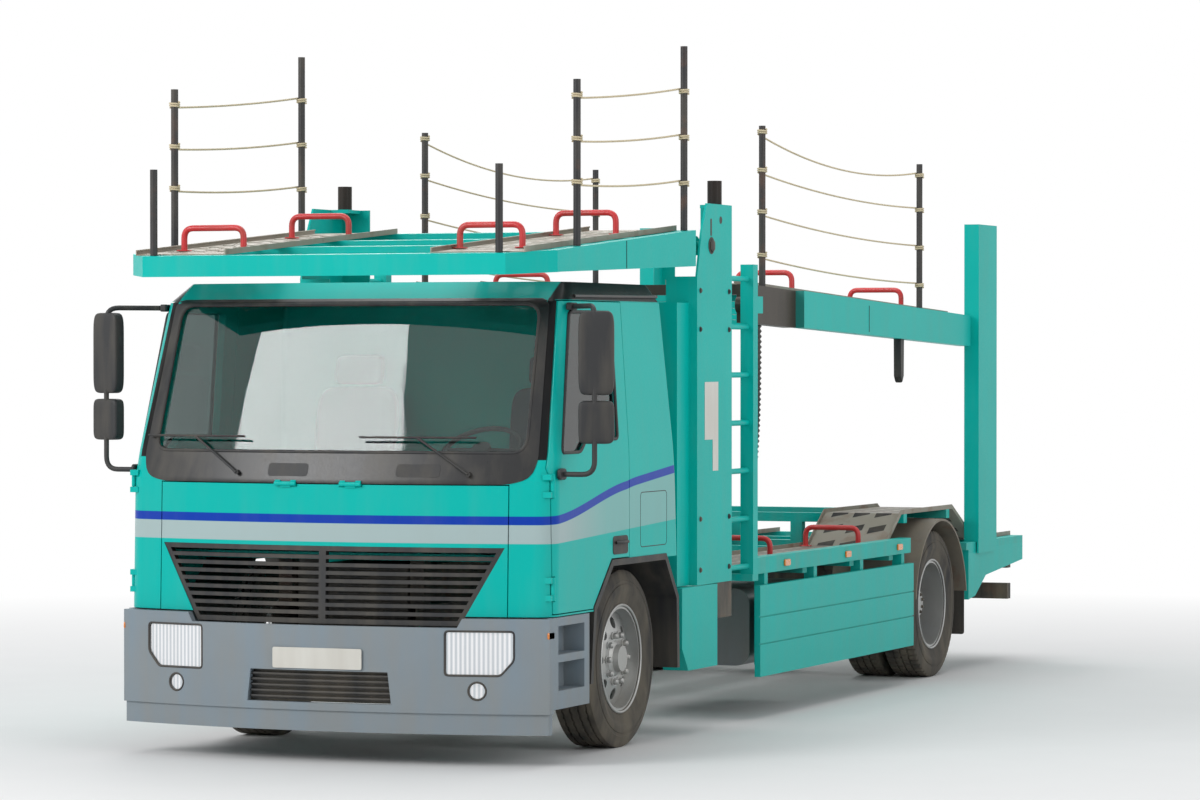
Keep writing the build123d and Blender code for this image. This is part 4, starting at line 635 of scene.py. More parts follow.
print("points on a rounded rectangle:", len(rectangle(0.0, 1.0, 0.0, 1.0, 0.1)))

# %% [markdown]
# A piece is made of shells and rides on a body of the truck. Most pieces have a mirror image on the other side,
# and a pair makes both. Soft-edged pieces come from a superellipsoid: a ball whose sines and cosines are raised
# to a small power, which squares it up but keeps its crown.

# %% Pieces, pairs and pads
def add_piece(name, shells, body="chassis", finish_name="trim_black", slot_name=None, sharp=35.0):
    """One object from several shells, smooth but for edges sharper than an angle, riding on a body."""
    corners, faces, shift = [], [], 0
    for points, quads in shells:
        corners.append(points)
        faces += [[corner + shift for corner in face] for face in quads]
        shift += len(points)
    mesh = bpy.data.meshes.new(name)
    mesh.from_pydata(np.concatenate(corners).tolist(), [], faces)
    mesh.polygons.foreach_set("use_smooth", np.ones(len(faces), bool))
    mesh.set_sharp_from_angle(angle=math.radians(sharp))
    piece = bpy.data.objects.new(name, mesh)
    bpy.context.scene.collection.objects.link(piece)
    give_finish(piece, finish_name)
    slot_name = slot_name or finish_name
    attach(piece, body)
    return piece


def twin(shells):
    """The same shells on the other side of the truck, their faces turned back outward."""
    return [(points * (-1, 1, 1), [face[::-1] for face in faces]) for points, faces in shells]


SIDES = (("left", lambda shells: shells), ("right", twin))


def add_pair(name, shells, body="chassis", *looks):
    """A left piece and its mirror image. A body whose name ends in _ has a left and a right twin too."""
    return [add_piece(name + "_" + side, turn_over(shells), body + side if body.endswith("_") else body, *looks)
            for side, turn_over in SIDES]


def power(value, exponent):
    return np.sign(value) * np.abs(value) ** exponent


def pad(middle, size, lean=0.0, square=0.32, channels=4):
    """x, y, z = size/2 * (cos v cos u, cos v sin u, sin v) to a power; dips across x where channels are sewn."""
    u = np.linspace(-np.pi, np.pi, 72, endpoint=False)[None, :]
    v = np.linspace(-np.pi / 2 + 0.004, np.pi / 2 - 0.004, 40)[:, None]
    x = power(np.cos(v), square) * power(np.cos(u), square)
    y = power(np.cos(v), square) * power(np.sin(u), square)
    points = xyz(x, y, power(np.sin(v), square)) * np.array(size) / 2
    if channels:
        thin = 1 if size[1] < size[2] else 2
        points[..., thin] *= 1 - 0.05 * np.exp(-((np.mod((x + 1) * channels / 2, 1.0) - 0.5) / 0.10) ** 2)
    points[..., 1] += points[..., 2] * math.tan(lean)
    return shell(points + np.array(middle))


print("faces of a pad:", len(pad((0, 0, 0), (1.0, 1.0, 1.0))[1]))

# %% [markdown]
# A tyre's section is one closed line: bead, leaning sidewall, shoulder, tread and back. Turned about the axle it
# gives a smooth tyre, and the tread is cut by lowering points. Ribs run all round between zigzag grooves, and
# the rear tyres have blocks besides, where every few degrees a whole row lies deep. Blocks copied round the
# wheel would need joining to the sidewall, which one grid doesn't.

# %% Tyres with their tread
TYRE_OUTSIDE = 0.4869
BEAD = 0.2866
TURN_STEPS = 360
GROOVE_DEPTH, BLOCK_DEPTH = 0.013, 0.014
ZIGZAGS, ZIGZAG = 60, 0.003
BLOCK_STEPS = 6


def about_axle(x, radius, angle, station):
    """Points (x, r sin a, r cos a) about an axle."""
    return xyz(x, y_at(station) + radius * np.sin(angle), WHEEL_HEIGHT + radius * np.cos(angle))


def tyre(centre, station, width, tread, grooves, blocks):
    """A section turned about the axle: the radius drops by the groove's depth between its edges, and the
    grooves' x swings as a triangle wave of the angle."""
    half, bead = width / 2, width / 2 - 0.030
    middle = (TYRE_OUTSIDE + BEAD) / 2
    wall = [(bead, BEAD), (bead + 0.004, BEAD + 0.016), (half - 0.013, middle - 0.040),
            (half - 0.013, middle - 0.036), (half - 0.006, middle - 0.020), (half - 0.001, middle),
            (half - 0.005, middle + 0.022), (half - 0.009, middle + 0.024), (half - 0.009, middle + 0.040),
            (half - 0.006, middle + 0.043), (tread / 2 + 0.006, TYRE_OUTSIDE - 0.026),
            (tread / 2 + 0.001, TYRE_OUTSIDE - 0.008)]
    top, depth = [(tread / 2 - 0.006, TYRE_OUTSIDE)], [0.0]
    for place in grooves[::-1]:
        for step, low in ((0.0055, 0), (0.0040, 1), (-0.0040, 1), (-0.0055, 0)):
            top.append((place + step, TYRE_OUTSIDE))
            depth.append(low)
    top.append((-tread / 2 + 0.006, TYRE_OUTSIDE))
    depth.append(0.0)
    x, r = np.array(wall + top + [(-x, r) for x, r in wall[::-1]]).T
    on_tread = np.zeros(len(x), bool)
    on_tread[len(wall) - 1:len(wall) + len(top) + 1] = True
    in_groove = np.zeros(len(x))
    in_groove[len(wall):len(wall) + len(top)] = depth
    angle = circle(TURN_STEPS)[:, None]
    swing = ZIGZAG * (2 * np.abs((angle * ZIGZAGS / (2 * np.pi)) % 1.0 * 2 - 1) - 1)
    inner = on_tread & (np.abs(x) < tread / 2 - 0.010)
    radius = r - GROOVE_DEPTH * in_groove + 0 * angle
    if blocks:
        row = np.arange(TURN_STEPS)[:, None] + np.where(x > 0, 0, BLOCK_STEPS // 2)
        cut = (row % BLOCK_STEPS == 0) & on_tread & (np.abs(x) > 0.025)
        radius = np.where(cut, np.minimum(radius, TYRE_OUTSIDE - BLOCK_DEPTH), radius)
    return shell(about_axle(centre + x + swing * inner, radius, angle, station), ring=True)


def rim_lip(x, centre, station):
    """A rolled edge of the rim, as a small circle turned about the axle."""
    turns = circle(10)
    lip_x, lip_radius = x + 0.006 + 0.006 * np.cos(turns), BEAD + 0.008 + 0.007 * np.sin(turns)
    return shell(about_axle(centre + lip_x, lip_radius, circle(96)[:, None], station), ring=True)


RIBS = (-0.072, -0.025, 0.025, 0.072)
TRACTION = (-0.050, 0.0, 0.050)
FRONT_X, FRONT_WIDTH, FRONT_TREAD = 1.030, 0.270, 0.226
REAR_XS, REAR_WIDTH, REAR_TREAD = (0.800, 1.075), 0.248, 0.214
TREAD_SHARP = 28.0
for side, turn_over in SIDES:
    single = [tyre(FRONT_X, FRONT_AXLE, FRONT_WIDTH, FRONT_TREAD, RIBS, False)]
    front = add_piece("front_tread_" + side, turn_over(single), "front_wheel_" + side, "tyre_rubber",
                      sharp=TREAD_SHARP)
    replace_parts(front, "front_tyre_" + side)
    pair = [tyre(x, REAR_AXLE, REAR_WIDTH, REAR_TREAD, TRACTION, True) for x in REAR_XS]
    rear = add_piece("rear_treads_" + side, turn_over(pair), "rear_wheels_" + side, "tyre_rubber",
                     sharp=TREAD_SHARP)
    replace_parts(rear, "rear_tyres_" + side)
add_pair("front_rim_lip", [rim_lip(0.105, FRONT_X, FRONT_AXLE)], "front_wheel_", "wheel_silver")
add_pair("rear_rim_lip", [rim_lip(0.094, REAR_XS[1], REAR_AXLE)], "rear_wheels_", "wheel_silver")
print("faces of a front tyre:", len(front.data.polygons), "and of a rear pair:", len(rear.data.polygons))

# %% [markdown]
# Ten nuts hold each wheel. A nut is turned like everything on a wheel, but its radius follows a hexagon between
# a round flange and a round dome, so one grid gives flange, flats and dome. The same nut, made flatter, is a bolt
# head on the columns.

# %% Wheel nuts and bolt heads
BOLT_HEADS = [(station, height, 0.011, 0.011) for station in (2.42, 2.89) for height in (0.93, 1.22, 2.30, 2.52)]
BOLT_HEADS.append((2.60, 2.78, 0.034, 0.016))


def nut(flat, length):
    """Rows of (height, radius); on a hexagon r = flat / cos(a mod 60 - 30 degrees)."""
    angle = circle(24)
    hexagon = flat / np.cos(np.mod(angle, np.pi / 3) - np.pi / 6)
    rows = ((0.0, 1.45 * flat), (0.16, 1.45 * flat), (0.22, hexagon), (0.72, hexagon), (0.80, flat * 0.94),
            (0.97, flat * 0.72), (1.0, flat * 0.40))
    return np.array([xyz(share * length, radius * np.sin(angle), radius * np.cos(angle)) for share, radius in rows])


def nut_ring(x, radius, station, count, flat, length):
    """Nuts at even steps on a circle about an axle, the first half a step from the top."""
    spots = about_axle(x, radius, circle(count) + np.pi / count, station)
    return [shell(nut(flat, length) + spot) for spot in spots]


add_pair("front_nuts", nut_ring(1.106, 0.132, FRONT_AXLE, 10, 0.0145, 0.034), "front_wheel_", "wheel_silver")
add_pair("rear_nuts", nut_ring(0.952, 0.143, REAR_AXLE, 10, 0.0145, 0.036)
         + nut_ring(1.0875, 0.062, REAR_AXLE, 8, 0.008, 0.012), "rear_wheels_", "cast_iron", "cast_metal")
add_pair("column_bolts", [shell(nut(flat, length) + xyz(BODY_SIDE - 0.0002, y_at(station), height))
                          for station, height, flat, length in BOLT_HEADS], "chassis", "frame_black")
print("bolt heads on a column:", len(BOLT_HEADS))

# %% [markdown]
# Light ropes run between the posts as a fence along each deck. Each is wound two and a half turns round a post,
# sags a little, and is wound round the next. The sag is a parabola, which a light rope under tension follows
# closely. Helix and span are one path, so a single tube is drawn along it and no ends have to meet.

# %% Ropes between the posts
# Columns: piece, body, front post and rear post as (x, station), ropes. A rope is height at the front post,
# height at the rear post, sag.
FENCES = (
    ("upper_ropes_", "upper_deck", (1.110, 3.85), (1.160, 6.80),
     ((3.48, 3.36, 0.095), (3.25, 3.13, 0.040), (3.00, 2.88, 0.030), (2.74, 2.63, 0.025))),
    ("over_cab_ropes_", "over_cab_deck", (1.200, 0.69), (1.200, 2.29),
     ((3.52, 3.66, 0.012), (3.29, 3.40, 0.015), (3.06, 3.14, 0.018))),
)
POST_WRAP = 0.0262
ROPE_RADIUS = 0.0055
WIND_CLIMB = 0.0019
WIND_TURNS = 2.5


def rope(start, stop, sag):
    """Helix round a post, span z = line - 4 sag t (1 - t), helix round the next post."""
    start, stop = np.array(start, float), np.array(stop, float)
    off = math.atan2(stop[1] - start[1], stop[0] - start[0]) + np.pi / 2
    wind = np.linspace(WIND_TURNS * 2 * np.pi, 0, int(WIND_TURNS * 16))

    def helix(post, wound, climb):
        return post + xyz(POST_WRAP * np.cos(off - wound), POST_WRAP * np.sin(off - wound), climb * wound)

    leave, arrive = helix(start, 0.0, 0.0), helix(stop, 0.0, 0.0)
    t = np.linspace(0, 1, 26)[1:-1, None]
    span = leave + (arrive - leave) * t - np.array([0, 0, 4 * sag]) * t * (1 - t)
    path = np.concatenate([helix(start, wind, WIND_CLIMB), span, helix(stop, wind[::-1], -WIND_CLIMB)])
    return tube(path, ROPE_RADIUS, 8)


for side_name, side in (("left", 1), ("right", -1)):
    for name, body, (front_x, front_station), (rear_x, rear_station), ropes in FENCES:
        runs = [rope((side * front_x, y_at(front_station), front_height),
                     (side * rear_x, y_at(rear_station), rear_height), sag)
                for front_height, rear_height, sag in ropes]
        add_piece(name + side_name, runs, body, "rope_fibre", "seat_fabric")
print("ropes:", sum(2 * len(row[-1]) for row in FENCES))

# %% [markdown]
# Several trims lie on the cab's curved face, so that face is needed as a formula. Each level of the cab is an
# arc across the front, given by how far its middle and its sides lie back, and between levels it runs straight.

# %% The cab's curved faces
# Columns: height, station of the middle, station of the sides, half width
CAB_LEVELS = np.array([[0.785, 0.055, 0.235, 1.245], [1.490, 0.075, 0.255, 1.245], [1.640, 0.125, 0.300, 1.242],
                       [2.440, 0.400, 0.560, 1.190], [2.545, 0.560, 0.700, 1.125]])


def arc_back(x, half, depth):
    """How far an arc lies back at x: r - sqrt(r^2 - x^2), with r = (half^2 + depth^2) / (2 depth)."""
    radius = (half ** 2 + depth ** 2) / (2 * depth)
    return radius - np.sqrt(radius ** 2 - x ** 2)


def cab_face(x, z):
    """Station of the cab's front at x and z, read between the table's levels."""
    front, sides, half = (np.interp(z, CAB_LEVELS[:, 0], CAB_LEVELS[:, k]) for k in (1, 2, 3))
    return front + arc_back(x, half, sides - front)


def bumper_face(x, z):
    """Station of the bumper's front, the same at each height z."""
    return arc_back(x, 1.25, 0.19) + 0 * z


def cab_side(z):
    """Half width of the cab at a height."""
    return np.interp(z, CAB_LEVELS[:, 0], CAB_LEVELS[:, 3])


print("cab front at mid height, middle and side:", [round(float(cab_face(x, 1.2)), 3) for x in (0.0, 1.2)])

# %% [markdown]
# A rubber seal is a round bead along an outline, and the dark surround of the windscreen is a sheet between two
# outlines. Both follow the curved face, since every point of theirs is laid on it.

# %% Beads and sheets on a curved face
BEAD_STEP = 0.03


def bead_along(outline, lay, face_axis, radius):
    """A round bead along a closed outline (u, v), split into short steps and laid on a face; its circles are
    square to the path, point = path + radius (cos a side + sin a third)."""
    outline = np.concatenate([outline, outline[:1]])
    lengths = np.linalg.norm(np.diff(outline, axis=0), axis=1)
    fine = np.concatenate([np.linspace(a, b, max(2, int(length / BEAD_STEP) + 1), endpoint=False)
                           for a, b, length in zip(outline, outline[1:], lengths) if length > 1e-5])
    path = lay(fine[:, 0], fine[:, 1])
    along = unit(np.roll(path, -1, 0) - np.roll(path, 1, 0))
    side = unit(np.cross(along, face_axis))
    third = np.cross(along, side)
    angle = circle(8)[None, :, None]
    ring = path[:, None] + radius * (np.cos(angle) * side[:, None] + np.sin(angle) * third[:, None])
    return shell(ring, ring=True)


def seal(outline, face, out, radius):
    """A bead on a front face, for an outline (x, z)."""
    return bead_along(outline, lambda x, z: xyz(x, y_at(face(x, z) - out), z), (0.0, 1.0, 0.0), radius)


def side_seal(outline, out, radius):
    """A bead on the cab's side, for an outline (station, z)."""
    return bead_along(outline, lambda s, z: xyz(cab_side(z) + out, y_at(s), z), (1.0, 0.0, 0.0), radius)


def evenly(outline, count=200):
    """Points at equal steps along a closed outline, so that two outlines can be joined point by point."""
    outline = np.concatenate([outline, outline[:1]])
    run = np.concatenate([[0], np.cumsum(np.linalg.norm(np.diff(outline, axis=0), axis=1))])
    steps = np.linspace(0, run[-1], count, endpoint=False)
    return np.stack([np.interp(steps, run, outline[:, k]) for k in (0, 1)], 1)


def whole_outline(half):
    """A half outline from the bottom middle up, with its mirror image."""
    half = np.asarray(half, float)
    return np.concatenate([[[0.0, half[0, 1]]], half, [[0.0, half[-1, 1]]], half[::-1] * (-1, 1)])


def frame_sheet(outer, inner, face, low, high, shares=12):
    """A thin sheet between two outlines on a curved face; points = outer + t (inner - outer)."""
    t = np.linspace(0, 1, shares)[None, :, None]
    flat = outer[:, None] * (1 - t) + inner[:, None] * t
    x, z = flat[..., 0], flat[..., 1]
    front, back = (xyz(x, y_at(face(x, z) - level), z) for level in (high, low))
    return shell(np.concatenate([front, back[:, ::-1]], 1), ring=True)


print("even steps round a square:", len(evenly(np.array([(0.0, 0.0), (1.0, 0.0), (1.0, 1.0), (0.0, 1.0)]))))

# %% [markdown]
# The windscreen sits in a wide black surround with two recesses under it. The lamps have dark rims, and the
# bumper's intake has a mesh behind five level bars.

# %% Windscreen surround, lamp rims and intake
SCREEN = ((1.090, 1.640), (1.060, 2.425))
SURROUND = ((1.015, 1.476), (1.125, 1.506), (1.157, 1.600), (1.106, 2.456))
RECESSES = ((-0.335, -0.095), (0.410, 0.650))
HEADLAMP = ((0.710, 0.480), (0.710, 0.712), (1.070, 0.712), (1.070, 0.560), (1.000, 0.480))
FOG_X, FOG_HEIGHT, FOG_RADIUS = 0.880, 0.400, 0.046
INTAKE = ((-0.418, 0.322), (-0.398, 0.488), (0.398, 0.488), (0.418, 0.322))
INTAKE_MIDDLE = 0.405

screen_edge = evenly(rounded(whole_outline(SCREEN), 0.080))
surround_edge = evenly(rounded(whole_outline(SURROUND), 0.050))
add_piece("screen_surround", [frame_sheet(surround_edge, screen_edge, cab_face, -0.0005, 0.0036)], "chassis",
          "gloss_black", "trim_black")
recesses = [slab(rectangle(left, right, 1.512, 1.580, 0.02), 0.0036, 0.0052, 0.0008,
                 lambda p: xyz(p[..., 0], y_at(cab_face(p[..., 0], p[..., 1]) - p[..., 2]), p[..., 1]))
            for left, right in RECESSES]
add_piece("screen_recesses", recesses)
add_piece("windscreen_seal", [seal(screen_edge, cab_face, -0.001, 0.010)])

fog_turns = circle(40)
fog_edge = np.stack([FOG_X + FOG_RADIUS * np.cos(fog_turns), FOG_HEIGHT + FOG_RADIUS * np.sin(fog_turns)], 1)
lamp_beads = [seal(edge, bumper_face, -0.002, 0.006) for edge in (rounded(HEADLAMP, 0.02), fog_edge)]
add_piece("lamp_rims", lamp_beads + twin(lamp_beads))

bar_x = np.linspace(-0.406, 0.406, 40)
bars = [tube(xyz(bar_x, y_at(bumper_face(bar_x, z) + 0.022), z), 0.008, 8) for z in np.linspace(0.345, 0.465, 5)]
add_piece("bumper_bars", bars)
intake_edge = evenly(rounded(INTAKE, 0.02))
middle_line = np.stack([intake_edge[:, 0], INTAKE_MIDDLE + 0.02 * (intake_edge[:, 1] - INTAKE_MIDDLE)], 1)
add_piece("intake_mesh", [frame_sheet(intake_edge, middle_line, bumper_face, -0.048, -0.041, 6)], "chassis",
          "radiator", "trim_black")
print("bars in the intake:", len(bars), "recesses:", len(recesses))

# %% [markdown]
# Behind the louvres sits the radiator: thin upright fins between level tubes. Its fins are far finer than a
# pixel, so a slab with bevelled rims is enough, and the radiator's finish draws them, with near-black painted
# shade in the gaps between them.

# %% Radiator core
core = slab(rectangle(-0.33, 0.33, 0.61, 1.03, 0.02), 0.445, 0.505, 0.008, along_y)
add_piece("radiator_core", [core], "chassis", "radiator", "cast_metal")
print("radiator core points:", len(core[0]))

# %% [markdown]
# Each door gets a moulded grip in a dark pan and a rubber bead round its window. The cab's side has the seam of
# a hatch, a gutter over the door and amber markers further back, and a blank plate sits on the bumper.

# %% Door trims, gutter, markers and plate
# The window's outline and the gutter's line are (station, height).
DOOR_WINDOW = ((0.380, 1.640), (0.596, 2.385), (1.180, 2.385), (1.180, 1.700), (0.720, 1.700), (0.640, 1.640))
GUTTER = ((0.47, 0.62, 1.93), (2.40, 2.468, 2.478))
GRIP_STATION, GRIP_HEIGHT, GRIP_OUT = 1.20, 1.140, 0.022
MARKER_STATIONS = (3.95, 5.10, 6.15)

grip = np.linspace(-0.085, 0.085, 18)
grip_x = CAB_SIDE + 0.004 + GRIP_OUT * np.sqrt(1 - (grip / 0.09) ** 2)
handle = [slab(rectangle(-0.11, 0.11, -0.05, 0.05, 0.025), -0.004, 0.004, 0.003,
               along_x(GRIP_STATION, 1.125, CAB_SIDE)),
          tube(xyz(grip_x, y_at(GRIP_STATION) + grip, GRIP_HEIGHT), 0.009, 10)]
add_pair("window_seal", [side_seal(rounded(DOOR_WINDOW, 0.03), -0.001, 0.009)], "door_")
add_pair("door_grip", handle, "door_")
add_pair("hatch_seam", [side_seal(rectangle(1.50, 1.90, 1.10, 1.40, 0.03), -0.0015, 0.003)])

gutter = np.linspace(0.47, 1.93, 50)[8:]
rise = np.interp(gutter, *GUTTER)
add_pair("gutter", [tube(xyz(cab_side(rise) + 0.003, y_at(gutter), rise), 0.010, 10)], "chassis", "gloss_black",
         "trim_black")
amber = rectangle(-0.05, 0.05, -0.02, 0.02, 0.012)
markers = [slab(amber, -0.001, 0.012, 0.004, along_x(station, 0.905, 1.230)) for station in MARKER_STATIONS]
markers.append(slab(amber * (0.8, 0.9), -0.001, 0.010, 0.004, along_x(0.222, 0.690, 1.240)))
add_pair("side_markers", markers, "chassis", "amber_lens", "lamp_red")
plate = slab(rectangle(-0.26, 0.26, 0.500, 0.610, 0.012), -0.0035, -0.0005, 0.001, along_y)
add_piece("front_plate_blank", [plate], "chassis", "pale_strip", "wheel_silver")
print("window seal points come from", len(DOOR_WINDOW), "corners, and markers on a side:", len(markers))

# %% [markdown]
# Each mirror has a small and a large head on a bent arm, with a foot at either end of it. The heads turn
# towards the driver, and a thin pane of mirror glass lies on the side of each that looks back.

# %% Mirrors
MIRROR_X, MIRROR_STATION, MIRROR_TURN = 1.440, 0.370, math.radians(20)
ARM_LOW, ARM_HIGH = 1.530, 2.412
HEAD_SPANS = ((1.690, 1.915), (1.945, 2.385))
PANE_INSET = 0.018


def mirror_lay(p):
    """Local (x, y, z) turned about the mirror's upright axis, so that its glass looks back to the driver."""
    x, y = p[..., 0], p[..., 1]
    return xyz(MIRROR_X + x * math.cos(MIRROR_TURN) - y * math.sin(MIRROR_TURN),
               y_at(MIRROR_STATION) + x * math.sin(MIRROR_TURN) + y * math.cos(MIRROR_TURN), p[..., 2])


heads, panes = [], []
for low, high in HEAD_SPANS:
    points, faces = pad((0, 0, (low + high) / 2), (0.188, 0.076, high - low), square=0.28, channels=0)
    heads.append((mirror_lay(points), faces))
    pane = rectangle(-0.076, 0.076, low + PANE_INSET, high - PANE_INSET, 0.02)
    panes.append(slab(pane, 0.0345, 0.0392, 0.001, lambda p: mirror_lay(p[..., [0, 2, 1]])))
arm = bent(((1.2452, y_at(0.345), ARM_LOW), (MIRROR_X, y_at(0.345), ARM_LOW), (MIRROR_X, y_at(0.345), ARM_HIGH),
            (1.215, y_at(0.600), ARM_HIGH)), 0.07)
feet = [slab(rectangle(-0.045, 0.045, -0.03, 0.03, 0.02), 0.0003, 0.022, 0.006, along_x(0.345, ARM_LOW, CAB_SIDE)),
        slab(rectangle(-0.04, 0.04, -0.02, 0.02, 0.01), -0.012, 0.026, 0.006, along_x(0.600, ARM_HIGH, 1.200))]
mirrors = add_pair("mirror_heads", heads + [tube(arm, 0.014, 14)] + feet, "door_")
for (side, turn_over), whole in zip(SIDES, mirrors):
    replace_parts(whole, "mirror_" + side)
add_pair("mirror_panes", panes, "door_", "mirror_glass", "glass")
print("length of a mirror's arm:", round(float(np.linalg.norm(np.diff(arm, axis=0), axis=1).sum()), 3))

# %% [markdown]
# Small things finish the body: a plain pale strip down each column with a hole and a slot, the welded joints of
# the beams, a ribbed sleeve that hangs from the upper deck's front, a lug under its beam, and mud flaps. The
# hole and the slot are thin black plates, painted shade in place of openings. The sleeve is a turned column whose
# radius swells and shrinks along its height.

# %% Strips, joints, flaps and hanging pieces
SLEEVE_TOP, SLEEVE_END, SLEEVE_RIBS = 2.335, 1.52, 26
STRIP = ((-0.11, 0.13), (0.11, 0.13), (0.11, -0.38), (0.02, -0.38), (0.02, -0.20), (-0.11, -0.20))
LUG = ((-0.035, 0.0), (0.035, 0.0), (0.030, -0.26), (0.0, -0.30), (-0.030, -0.26))


def upright(x, station, heights, radii, sides=28):
    """A column turned about an upright axis from heights and radii."""
    angle, radii = circle(sides)[None, :], radii[:, None]
    return shell(xyz(x + radii * np.cos(angle), y_at(station) + radii * np.sin(angle), heights[:, None]))


def joint_line(x, station, high, low):
    """A thin upright line on a beam's side."""
    return [tube([(x, y_at(station), high), (x, y_at(station), low)], 0.003, 8)]


add_pair("column_strip", [slab(STRIP, 0.0003, 0.0020, 0.0005, along_x(2.60, 1.870, BODY_SIDE))], "chassis",
         "pale_strip", "wheel_silver")
add_pair("beam_joint", joint_line(1.2003, 5.62, 2.468, 2.300), "upper_deck")
add_pair("cab_beam_joint", joint_line(1.2503, 1.28, 2.775, 2.625), "over_cab_deck")

fall = np.linspace(0.0, 1.0, 120)
swell = 0.040 - 0.022 * fall ** 3 + 0.005 * np.sin(fall * SLEEVE_RIBS * 2 * np.pi)
swell[[0, -1]] = (0.030, 0.006)
hung = [upright(1.100, 3.74, SLEEVE_TOP - fall * (SLEEVE_TOP - SLEEVE_END), swell),
        slab(LUG, -0.025, 0.025, 0.008, along_x(6.39, 2.272, 1.150))]
add_pair("hanging_sleeve", hung, "upper_deck")

# Painted shade: the hole and the slot are thin black plates, not openings.
hole = np.stack([0.022 * np.cos(circle(40)), 0.022 * np.sin(circle(40))], 1)
marks = [slab(hole, 0.0002, 0.0009, 0.0003, along_x(2.754, 2.930, BODY_SIDE)),
         slab(rectangle(-0.012, 0.012, -0.05, 0.05, 0.010), 0.0002, 0.0009, 0.0003,
              along_x(2.595, 2.885, BODY_SIDE))]
add_pair("column_opening_shade", marks, "chassis", "frame_black")
flap = slab(rectangle(0.657, 1.230, 0.250, 0.572, 0.02), 7.584, 7.593, 0.002, along_y)
hem = tube([(0.667, y_at(7.5885), 0.262), (1.220, y_at(7.5885), 0.262)], 0.008, 10)
add_pair("mud_flap", [flap, hem])
print("widest radius of the sleeve:", round(float(swell.max()), 4))

# %% [markdown]
# The wheel tracks of the upper decks are punched plate with a folded lip at each side. A punched plate is a grid
# of cells with the slots' cells left out, closed by a wall wherever a cell's neighbour is missing. Cutting the
# slots with a Boolean would work as well, but it is slow for over two hundred of them and leaves thin
# faces. The slots lean: each column's stations shift evenly from one end of the slot to the other.

# %% Punched wheel tracks
# The decks' lines are stations and heights.
OVER_CAB_TOP = ((0.050, 2.350), (2.684, 2.862))
UPPER_TOP = ((3.540, 7.830), (2.575, 2.423))
SLOT_LENGTH = 0.110
SLOT_WIDTH = 0.062
SLOT_LEAN = 0.018
PLATE = 0.006
LIP = ((0.0, 0.006), (0.006, 0.006), (0.006, 0.021), (0.011, 0.023), (0.011, 0.028), (0.009, 0.030), (0.0, 0.030))


def slot_edges(first, last, middles, size):
    """The two ends and, between them, both edges of each slot."""
    return np.concatenate([[first], (middles[:, None] + np.array([-1, 1]) * size / 2).ravel(), [last]])


def punched(x_low, x_high, line, start, stop):
    """Cells (station, x); odd cells both ways are slots. z = the deck's line, and a plate's thickness above it."""
    columns = int((x_high - x_low - SLOT_LENGTH) // SLOT_COLUMN_PITCH) + 1
    rows = int((stop - start - SLOT_PITCH) // SLOT_PITCH)
    across = (x_low + x_high) / 2 + SLOT_COLUMN_PITCH * (np.arange(columns) - (columns - 1) / 2)
    along = (start + stop) / 2 + SLOT_PITCH * (np.arange(rows) - (rows - 1) / 2)
    x, s = slot_edges(x_low, x_high, across, SLOT_LENGTH), slot_edges(start, stop, along, SLOT_WIDTH)
    lean = np.tile(np.concatenate([[0.0], np.tile([-SLOT_LEAN, SLOT_LEAN], columns), [0.0]]), (len(s), 1))
    lean[[0, -1]] = 0.0
    stations = s[:, None] + lean
    bottom = xyz(x, y_at(stations), np.interp(stations, *line)).reshape(-1, 3)
    corners = np.concatenate([bottom, bottom + (0, 0, PLATE)])
    count, wide = len(bottom), len(x)
    solid = np.zeros((len(s) + 1, wide + 1), bool)
    solid[1:-1, 1:-1] = True
    solid[2:-1:2, 2:-1:2] = False
    faces = []
    for i, j in (np.argwhere(solid) - 1).tolist():
        a, b, c, d = i * wide + j, i * wide + j + 1, (i + 1) * wide + j + 1, (i + 1) * wide + j
        faces += [[a + count, b + count, c + count, d + count], [d, c, b, a]]
        for closed, first, last in ((solid[i, j + 1], a, b), (solid[i + 1, j + 2], b, c),
                                    (solid[i + 2, j + 1], c, d), (solid[i + 1, j], d, a)):
            if not closed:
                faces.append([first, last, last + count, first + count])
    return corners, faces


def lip(x, inward, line, stations):
    """A lip drawn along the deck's line: upright, with its top edge folded over inward."""
    u, w = np.array(LIP).T
    return shell(np.array([xyz(x + inward * u, y_at(s), np.interp(s, *line) + w) for s in stations]))


# Columns: piece, node it replaces, body, track from and to across, line, start, end
TRACKS = (
    ("over_cab_punched_tracks", "over_cab_tracks", "over_cab_deck", 0.600, 1.140, OVER_CAB_TOP, 0.125, 2.330),
    ("upper_punched_tracks", "upper_tracks", "upper_deck", 0.600, 1.040, UPPER_TOP, 3.560, 7.820),
)
for name, node_name, body, x_low, x_high, line, start, stop in TRACKS:
    ends = np.linspace(start, stop, 8)
    left_track = [punched(x_low, x_high, line, start, stop), lip(x_low, 1, line, ends), lip(x_high, -1, line, ends)]
    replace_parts(add_piece(name, left_track + twin(left_track), body, "deck_steel"), node_name)
    print(name, "has", len(left_track[0][1]), "faces in a plate")

# %% [markdown]
# A wheel stop is a low red tube that stands across a track. It is bent twice and welded to two small foot
# plates, so the wheel of a loaded car rests against its level part.

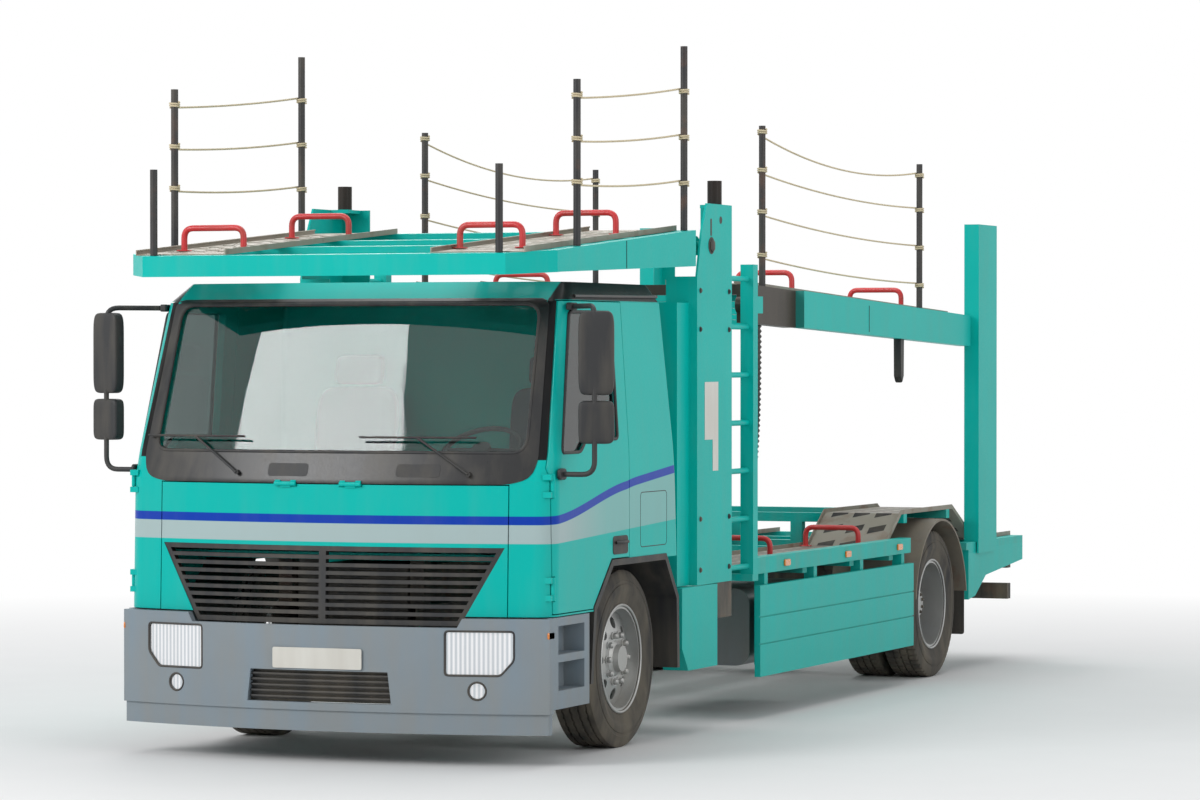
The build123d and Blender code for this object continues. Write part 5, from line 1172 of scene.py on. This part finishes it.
# %% Wheel stops
LOWER_TOP = ((3.450, 6.150, 6.480, 7.600, 8.100, 9.000), (0.900, 0.900, 1.104, 1.104, 0.870, 0.870))
STOP_LOW_X, STOP_HIGH_X, STOP_HEIGHT = 0.640, 1.000, 0.125


def bow(line, station):
    """A tube bent twice, on two small foot plates that stand on a track's plate."""
    y, foot = y_at(station), float(np.interp(station, *line)) + PLATE
    top = foot + STOP_HEIGHT
    path = bent(((STOP_LOW_X, y, foot), (STOP_LOW_X, y, top), (STOP_HIGH_X, y, top), (STOP_HIGH_X, y, foot)), 0.055)
    plate = rectangle(-0.035, 0.035, -0.030, 0.030, 0.01)
    feet = [slab(plate, 0.0003, 0.007, 0.002, lambda p, x=x: p + (x, y, foot)) for x in (STOP_LOW_X, STOP_HIGH_X)]
    return [tube(path, 0.017, 16)] + feet


# Columns: piece, node it replaces, body, line, stations
STOPS = (
    ("over_cab_bows", "over_cab_stops", "over_cab_deck", OVER_CAB_TOP, (0.420, 1.750)),
    ("upper_bows", "upper_stops", "upper_deck", UPPER_TOP, (4.700, 6.900)),
    ("lower_bows", "lower_wheel_stops", "chassis", LOWER_TOP, (4.300, 6.000)),
)
for name, node_name, body, line, stations in STOPS:
    bows = [part for station in stations for part in bow(line, station)]
    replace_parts(add_piece(name, bows + twin(bows), body, "stop_red", "red_paint"), node_name)
print("wheel stops:", sum(2 * len(row[-1]) for row in STOPS))

# %% [markdown]
# Seats show through the glass. Each is three pads: a cushion, a leaning back and a head rest, with sewn channels
# as shallow dips across the face that a driver leans on. A subdivided box could be a pad too, but the formula
# sets its crown and its channels by number.

# %% Seat pads
BACK_LEAN = 0.135
seat_shells = []
for x in (-0.600, 0.600):
    seat_shells.append(pad((x, y_at(1.370), 1.457), (0.496, 0.534, 0.124)))
    seat_shells.append(pad((x, y_at(1.772), 1.700), (0.476, 0.112, 0.540), BACK_LEAN))
    seat_shells.append(pad((x, y_at(1.822), 2.068), (0.280, 0.092, 0.165), BACK_LEAN, channels=2))
seats = add_piece("seat_cushions", seat_shells, "chassis", "seat_fabric", sharp=60.0)
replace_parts(seats, "seat_pads")
print("seat faces:", len(seats.data.polygons))
